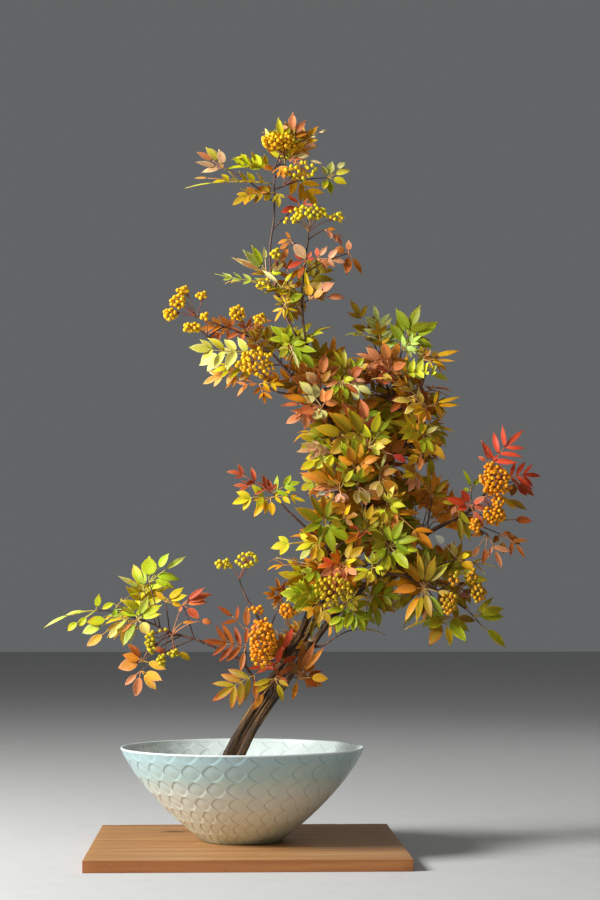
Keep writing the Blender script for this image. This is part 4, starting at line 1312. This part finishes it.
def model_leaflet():
    """One leaflet lying flat, stalk end at the origin, a metre long and wide: closed and toothed."""
    bpy.ops.mesh.primitive_grid_add(x_subdivisions=4, y_subdivisions=LEAFLET_ROWS, size=1,
                                    location=(0, 0.5, 0))
    leaflet = bpy.context.object
    bpy.ops.object.transform_apply(location=True, rotation=False, scale=False)
    begin_edit(leaflet)
    bpy.ops.mesh.extrude_region_move(TRANSFORM_OT_translate={"value": (0, 0, 1)})
    end_edit()
    mesh = leaflet.data
    points = points_of(mesh)
    top = points[:, 2] > 0.5
    u, t = points[:, 0] * 2, points[:, 1]
    at_rim = np.abs(u) > 0.99
    row = np.round(t * LEAFLET_ROWS)
    width = leaf_outline(np.clip(t, 0.0, 1.0))
    inset = np.where(at_rim, 1.0, 0.94)
    points[:, 0] = u * width * 0.5 * inset
    thick = LEAFLET_THICKNESS * (1 - np.abs(u) ** 3)
    groove = np.where(np.abs(u) < 0.01, LEAFLET_THICKNESS * 0.6, 0)
    points[:, 2] = np.where(top, thick - groove, -thick - groove)
    quilt = np.where((np.abs(u) > 0.4) & ~at_rim, 0.006 * (-1.0) ** row, 0)
    points[:, 2] += quilt
    points[at_rim, 1] += 0.02 * (row[at_rim] % 2 - 0.5)
    set_points(mesh, points)
    kinds = np.empty(len(mesh.polygons), int)
    layer = mesh.uv_layers.new(name="leaf")
    for face in mesh.polygons:
        height = sum(1 if top[vertex] else -1 for vertex in face.vertices)
        kinds[face.index] = UPPER if height > 0 else UNDER
        for corner, vertex in zip(face.loop_indices, face.vertices):
            layer.data[corner].uv = (u[vertex] / 2 + 0.5, t[vertex])
    mesh.polygons.foreach_set("material_index", kinds.tolist())
    begin_edit(leaflet)
    bpy.ops.mesh.remove_doubles(threshold=0.0005)
    bpy.ops.mesh.normals_make_consistent(inside=False)
    end_edit()
    return taken_apart(leaflet)


def taken_apart(obj):
    """A modelled shape's points, corners, face sizes, face kinds and flat places; it is removed."""
    mesh = obj.data
    corners = np.empty(len(mesh.loops), int)
    mesh.loops.foreach_get("vertex_index", corners)
    sizes = np.empty(len(mesh.polygons), int)
    mesh.polygons.foreach_get("loop_total", sizes)
    kinds = np.empty(len(mesh.polygons), int)
    mesh.polygons.foreach_get("material_index", kinds)
    flat = np.full((len(mesh.loops), 2), 0.5)
    if mesh.uv_layers:
        places = np.empty(len(mesh.loops) * 2)
        mesh.uv_layers[0].data.foreach_get("uv", places)
        flat = places.reshape(-1, 2)
    shape = (points_of(mesh), corners, sizes, kinds, flat)
    bpy.data.objects.remove(obj, do_unlink=True)
    return shape


class Cluster:
    """Copies of modelled shapes gathered into one piece, each with its own blade and edge colours."""

    def __init__(self):
        self.points, self.corners, self.sizes, self.kinds, self.flat = [], [], [], [], []
        self.blade, self.edge = [], []
        self.count = 0

    def add(self, points, corners, sizes, kinds, flat, blade, edge):
        """One more copy, with its points in place and its two colours."""
        self.points.append(points)
        self.corners.append(corners + self.count)
        self.sizes.append(sizes)
        self.kinds.append(kinds)
        self.flat.append(flat)
        self.blade.append(np.tile(blade, (len(points), 1)))
        self.edge.append(np.tile(edge, (len(points), 1)))
        self.count += len(points)

    def add_tube(self, path, sides, kind, colour):
        """A stalk or shoot along (x, y, z, radius), all in one colour."""
        points, faces = tube(path, sides)
        corners = np.array([corner for face in faces for corner in face])
        sizes = np.array([len(face) for face in faces])
        flat = np.full((len(corners), 2), 0.5)
        self.add(points, corners, sizes, np.full(len(faces), kind), flat, colour, colour)

    def make(self, name, *materials):
        """The one piece, with its colours and flat places kept on it."""
        mesh = bpy.data.meshes.new(name)
        points = np.concatenate(self.points)
        corners = np.concatenate(self.corners)
        sizes = np.concatenate(self.sizes)
        mesh.vertices.add(len(points))
        mesh.loops.add(len(corners))
        mesh.polygons.add(len(sizes))
        mesh.vertices.foreach_set("co", points.astype(np.float32).ravel())
        mesh.loops.foreach_set("vertex_index", corners.astype(np.int32))
        starts = np.concatenate([[0], np.cumsum(sizes)[:-1]])
        mesh.polygons.foreach_set("loop_start", starts.astype(np.int32))
        mesh.update(calc_edges=True)
        mesh.polygons.foreach_set("material_index", np.concatenate(self.kinds).astype(np.int32))
        layer = mesh.uv_layers.new(name="leaf")
        layer.data.foreach_set("uv", np.concatenate(self.flat).astype(np.float32).ravel())
        set_attribute(mesh, "blade", np.concatenate(self.blade))
        set_attribute(mesh, "edge", np.concatenate(self.edge))
        for material in materials:
            mesh.materials.append(material)
        mesh.shade_smooth()
        mesh.set_sharp_from_angle(angle=RIM_CREASE)
        made = bpy.data.objects.new(name, mesh)
        bpy.context.collection.objects.link(made)
        return made


def unit(vector):
    """The same direction, one long."""
    return vector / np.linalg.norm(vector)


def turned_about(vector, axis, angle):
    """A vector turned about a unit axis."""
    return (vector * math.cos(angle) + np.cross(axis, vector) * math.sin(angle)
            + axis * (axis @ vector) * (1 - math.cos(angle)))


def tinted(rng, colour, spread):
    """A leaf colour by its name, a little lighter or darker and warmer or cooler."""
    base = np.array(linear(LEAF_COLOURS[colour]))
    light = 1 + rng.uniform(-spread, spread)
    warm = 1 + rng.uniform(-spread, spread) * 0.5
    return np.clip(base * np.array([light * warm, light, light / warm, 1]), 0, 1)


def add_leaflet(cluster, rng, base, ahead, face, length, width, blade, edge):
    """A copy of the leaflet: folded along its midrib, curled to its tip and a little twisted."""
    points, corners, sizes, kinds, flat = LEAFLET
    fold = math.radians(rng.uniform(3, 24))
    curl = math.radians(rng.uniform(-5, 40))
    twist = math.radians(rng.uniform(-20, 20))
    x = points[:, 0] * width * length
    y = points[:, 1]
    z = points[:, 2] * length + np.abs(x) * math.tan(fold)
    turn = twist * y
    x, z = x * np.cos(turn) - z * np.sin(turn), x * np.sin(turn) + z * np.cos(turn)
    bend = max(abs(curl), 0.02) * (1 if curl >= 0 else -1)
    angle = bend * y
    along = length * np.sin(angle) / bend + z * np.sin(angle)
    up = length * (np.cos(angle) - 1) / bend + z * np.cos(angle)
    side = np.cross(ahead, face)
    placed = base + x[:, None] * side + along[:, None] * ahead + up[:, None] * face
    cluster.add(placed, corners, sizes, kinds, flat, blade, edge)


def add_side_leaflet(cluster, rng, root, onward, face, sign, share, blade, edge, raised, size, width):
    """One leaflet of a pair: opened to its side, raised, drooping a little and turned on its axis."""
    side = np.cross(onward, face)
    opening = math.radians(rng.uniform(50, 66) - 12 * share)
    ahead = onward * math.cos(opening) + side * sign * math.sin(opening)
    tilt = math.radians(raised + rng.uniform(-10, 14))
    ahead = unit(ahead + face * math.tan(tilt) * math.sin(opening))
    ahead = unit(ahead + np.array((0, 0, -0.10)))
    normal = unit(face - ahead * (face @ ahead))
    normal = turned_about(normal, ahead, math.radians(rng.uniform(-26, 26)))
    grown = size * rng.uniform(0.86, 1.06)
    one = tinted(rng, blade, 0.16)
    other = tinted(rng, edge, 0.16)
    share_turned = rng.uniform(0, 0.35)
    one = one * (1 - share_turned) + other * share_turned
    wide = width * rng.uniform(0.9, 1.12)
    add_leaflet(cluster, rng, root, ahead, normal, grown, wide, one, other)


def add_leaf(cluster, rng, base, tip, blade, edge, lift, raised, bow, pairs, size, width):
    """A rowan leaf from base to tip: a bowed midrib, pairs of leaflets and one at the end."""
    chord = tip - base
    length = np.linalg.norm(chord)
    straight = chord / length
    lift = math.radians(lift + rng.uniform(-8, 8))
    sway = math.radians(rng.uniform(-16, 16))
    faces_to = np.array((math.sin(sway) * math.cos(lift), -math.cos(sway) * math.cos(lift),
                         math.sin(lift)))
    up = np.array((0.0, 0.0, 1.0))
    rise = up - straight * (up @ straight)
    if np.linalg.norm(rise) < 0.25:
        rise = faces_to - straight * (faces_to @ straight)
    rise = unit(rise)
    last = min(size * CM, 0.55 * length if pairs > 1 else 0.8 * length)

    def place(t):
        return base + chord * t + rise * (4 * bow * CM * t * (1 - t))

    stalk_end = 1 - last / length
    steps = np.linspace(0, stalk_end, 7)
    path = np.array([(*place(t), STALK_RADIUS * (1.15 - 0.6 * t)) for t in steps])
    stem_colour = 0.5 * tinted(rng, blade, 0.1) + 0.5 * np.array(linear(STALK_COLOUR))
    cluster.add_tube(path, 5, STALK, stem_colour)
    first = stalk_end * (0.34 if pairs < 3 else 0.24)
    for pair in range(pairs):
        share = pair / max(pairs - 1, 1) if pairs > 1 else 0.6
        t = first + (stalk_end - first) * share * 0.93
        onward = unit(place(t + 0.02) - place(t - 0.02))
        face = unit(faces_to - onward * (faces_to @ onward))
        shorter = 0.84 + 0.16 * math.sin(math.pi * (share + 0.25) / 1.3)
        grown = min(size * CM, 0.62 * length) * shorter
        for sign in (1, -1):
            add_side_leaflet(cluster, rng, place(t), onward, face, sign, share, blade, edge, raised,
                             grown, width)
    onward = unit(tip - place(stalk_end - 0.03))
    face = unit(faces_to - onward * (faces_to @ onward))
    one = 0.8 * tinted(rng, blade, 0.12) + 0.2 * tinted(rng, edge, 0.12)
    add_leaflet(cluster, rng, place(stalk_end), onward, face, last, width, one, tinted(rng, edge, 0.12))


def spread_round(number, count, turned=0.0):
    """The direction of one of count places spread evenly over a ball, turned a little if asked."""
    level = 1 - 2 * (number + 0.5) / count
    ring = math.sqrt(1 - level * level)
    turn = GOLDEN_TURN * number + turned
    return np.array((ring * math.cos(turn), ring * math.sin(turn), level))


def fill_leaves(cluster, rng, middle, halves, count, colours):
    """Shoots through the depth of a part of the crown, each from a branch and with two leaves."""
    for number in range(count):
        spot = spread_round(number, count, rng.uniform(-0.3, 0.3)) * rng.uniform(0.35, 0.95)
        hub = (np.array(middle) + spot * np.array(halves)) * CM
        path = shoot_path(hub, SHOOT_RADIUS)
        cluster.add_tube(path, 6, SHOOT, np.array(linear(INNER_SHOOT_COLOUR)))
        outward = unit(spot + np.array((0, 0.35, 0.25)))
        blade = colours[number % len(colours)]
        edge = rng.choice(["amber", "russet", "amber", "gold", "olive"])
        for _ in range(2):
            heading = outward + np.array([rng.uniform(-0.9, 0.9) for _ in range(3)])
            heading[1] = max(heading[1], -0.25)
            tip = hub + unit(heading) * rng.uniform(6.5, 8.5) * CM
            lift = rng.uniform(10, 75)
            add_leaf(cluster, rng, hub, tip, blade, edge, lift, 8, 0.4, rng.choice([3, 4]),
                     rng.uniform(3.0, 3.9), rng.uniform(0.30, 0.40))


def make_sprays():
    """All the sprays of leaves, each one piece with the inner leaves that it carries."""
    for name, (slot, shoots) in SPRAYS.items():
        rng = random.Random(name)
        cluster = Cluster()
        for hub, leaves in shoots:
            hub = np.array(hub) * CM
            path = shoot_path(hub, SHOOT_RADIUS)
            cluster.add_tube(path, 6, SHOOT, np.array(linear(SHOOT_COLOUR)))
            for x, y, z, colours, *shape in leaves:
                if len(shape) == 2:
                    shape = (0, *shape)
                if len(shape) == 3:
                    shape = (*PLAIN_LEAVES[shape[0]], *shape)
                add_leaf(cluster, rng, hub, np.array((x, y, z)) * CM, *colours.split(), *shape)
        for owner, middle, halves, count, colours in FILLING:
            if owner == name:
                fill_leaves(cluster, rng, middle, halves, count, colours)
        spray = cluster.make(name.replace("_leaves", "").replace("_leaf", "") + "_foliage",
                             LEAF_UPPER, LEAF_UNDER, LEAF_STALK, YOUNG_BARK)
        stands_for(spray, slot, name)


# ---- Fruit ----

def model_berry():
    """One fruit, a metre in radius, its dried calyx a small star pressed into the lower pole."""
    bpy.ops.mesh.primitive_uv_sphere_add(segments=10, ring_count=7, radius=1)
    berry = bpy.context.object
    begin_edit(berry, "DESELECT")
    end_edit()
    for face in berry.data.polygons:
        face.select = face.center.z < -0.88
    begin_edit(berry, None)
    bpy.ops.mesh.inset(thickness=0.16, depth=-0.10)
    bpy.ops.mesh.select_all(action="SELECT")
    bpy.ops.mesh.quads_convert_to_tris()
    end_edit()
    mesh = berry.data
    for face in mesh.polygons:
        middle = face.center
        face.material_index = 1 if middle.z < -0.8 and math.hypot(middle.x, middle.y) < 0.22 else 0
    return taken_apart(berry)


def spread_berries(rng, middle, halves, count):
    """Berry centres through a head, pushed apart to about the width of a berry."""
    spots = [spread_round(number, count) * rng.uniform(0.55, 1.0) for number in range(count)]
    spots = np.array(spots) * np.array(halves) * CM
    apart = BERRY_RADIUS * 2.04
    for _ in range(30):
        gaps = spots[:, None] - spots[None]
        distances = np.linalg.norm(gaps, axis=2) + np.eye(count)
        push = np.clip(apart - distances, 0, None) * (1 - np.eye(count))
        spots = spots + (gaps / distances[:, :, None] * push[:, :, None]).sum(axis=1) * 0.35
    return spots + np.array(middle) * CM


def add_berry(cluster, rng, spot, fork, reddish, first, second):
    """A fruit on a thin stalk from its fork, its calyx turned away from the stalk."""
    berry, *shape = BERRY
    inward = unit(fork - spot)
    line = [(*fork, 0.5 * MM), (*((fork + spot) / 2 + np.array((0, 0, 0.8 * MM))), 0.42 * MM),
            (*(spot + inward * BERRY_RADIUS * 0.9), 0.45 * MM)]
    cluster.add_tube(smooth_path(line, 2), 4, STALK, reddish)
    size = BERRY_RADIUS * rng.uniform(0.90, 1.06)
    across = unit(np.cross(inward, (0.31, 0.62, 0.72)))
    axes = np.stack([across, np.cross(inward, across), inward])
    squat = np.array((1, 1, rng.uniform(0.92, 1.04)))
    ripe = rng.random()
    tint = np.clip((first * (1 - ripe) + second * ripe) * rng.uniform(0.85, 1.1), 0, 1)
    blush = np.clip(first * np.array((1, 0.88, 0.7, 1)), 0, 1)
    cluster.add(spot + (berry * squat * size) @ axes, *shape, tint, blush)


def add_umbel(cluster, rng, foot, middle, halves, count, colours):
    """A shoot up to the foot of a head, rays from there to the forks, and the fruit."""
    foot, centre = np.array(foot) * CM, np.array(middle) * CM
    cluster.add_tube(shoot_path(foot, SHOOT_RADIUS), 6, SHOOT, np.array(linear(SHOOT_COLOUR)))
    spots = spread_berries(rng, middle, halves, count)
    rays = max(count // 6, 1)
    chosen = spots[:: max(count // rays, 1)]
    forks = [foot + (spot - foot) * 0.55 + (centre - foot) * 0.08 for spot in chosen]
    reddish = np.array(linear(rng.choice(RAY_COLOURS)))
    for fork in forks:
        bend = (foot + fork) / 2 + np.array((0, 0, 0.08)) * np.linalg.norm(fork - foot)
        line = [(*foot, 0.9 * MM), (*bend, 0.75 * MM), (*fork, 0.6 * MM)]
        cluster.add_tube(smooth_path(line, 3), 5, STALK, reddish)
    for spot in spots:
        fork = min(forks, key=lambda place: np.linalg.norm(place - spot))
        add_berry(cluster, rng, spot, fork, reddish, *colours)


def make_heads():
    """All the heads of fruit, each fruit coloured between its head's two colours."""
    for name, (slot, umbels) in HEADS.items():
        rng = random.Random(name)
        cluster = Cluster()
        colours = [np.array(linear(colour)) for colour in BERRY_COLOURS.get(name, BERRY_COLOURS[slot])]
        for umbel in umbels:
            add_umbel(cluster, rng, *umbel, colours)
        head = cluster.make(name.replace("_berries", "") + "_fruit",
                            BERRY_SKIN, CALYX, LEAF_STALK, YOUNG_BARK)
        stands_for(head, slot, name)


# ---- Studio ----

# Each light's name, place, the point that it is aimed at, size in metres and power in watts.
LIGHTS = [
    ("key_light", (-2.6, -1.15, 1.95), (0.1, 0, 0.5), 1.1, 214),
    ("fill_light", (-0.4, -3.4, 1.6), (0.1, 0, 0.7), 1.6, 5),
    ("back_light", (1.8, 2.2, 2.2), (0.1, 0, 0.6), 1.4, 11),
]


def make_studio():
    """A pale floor, a dim sky and three soft lights."""
    bpy.ops.mesh.primitive_plane_add(size=30, location=(0, 0, 0))
    floor = bpy.context.object
    settle(floor, "studio_floor", studio_paper())
    world = bpy.data.worlds.new("studio")
    bpy.context.scene.world = world
    world.use_nodes = True
    background = world.node_tree.nodes["Background"]
    background.inputs["Color"].default_value = linear("#dfe1e3")
    background.inputs["Strength"].default_value = 0.17
    for name, place, aim, size, power in LIGHTS:
        data = bpy.data.lights.new(name, "AREA")
        data.size = size
        data.energy = power
        light = bpy.data.objects.new(name, data)
        bpy.context.collection.objects.link(light)
        light.location = place
        light.rotation_euler = (Vector(aim) - Vector(place)).to_track_quat("-Z", "Y").to_euler()


def make_camera():
    """A long lens, low in front, that looks a little up and to the right."""
    data = bpy.data.cameras.new("camera")
    data.lens = 77.4
    data.sensor_width = 36
    camera = bpy.data.objects.new("camera", data)
    bpy.context.collection.objects.link(camera)
    camera.location = (-0.030, -3.209, 0.396)
    camera.rotation_euler = (math.radians(94.71), 0, math.radians(-2.22))
    bpy.context.scene.camera = camera
    bpy.context.scene.view_settings.view_transform = "Standard"


PLACE_ROWS, PLACES = stem_places()
BARK, YOUNG_BARK, SAWN_WOOD = rowan_bark(), young_bark(), sawn_wood()
LEAF_UPPER = leaf_side("rowan_leaf_upper_side", 0.48, 0.16, False)
LEAF_UNDER = leaf_side("rowan_leaf_underside", 0.65, 0.35, True)
LEAF_STALK = leaf_stalk()
BERRY_SKIN, CALYX = berry_skin(), berry_calyx()
LEAFLET = model_leaflet()
BERRY = model_berry()

make_camera()
make_studio()
make_board()
make_bowl()
make_water()
make_pin_holder()
for stem_name, stem_lines in STEMS.items():
    make_stem(stem_name, stem_lines)
make_sprays()
make_heads()
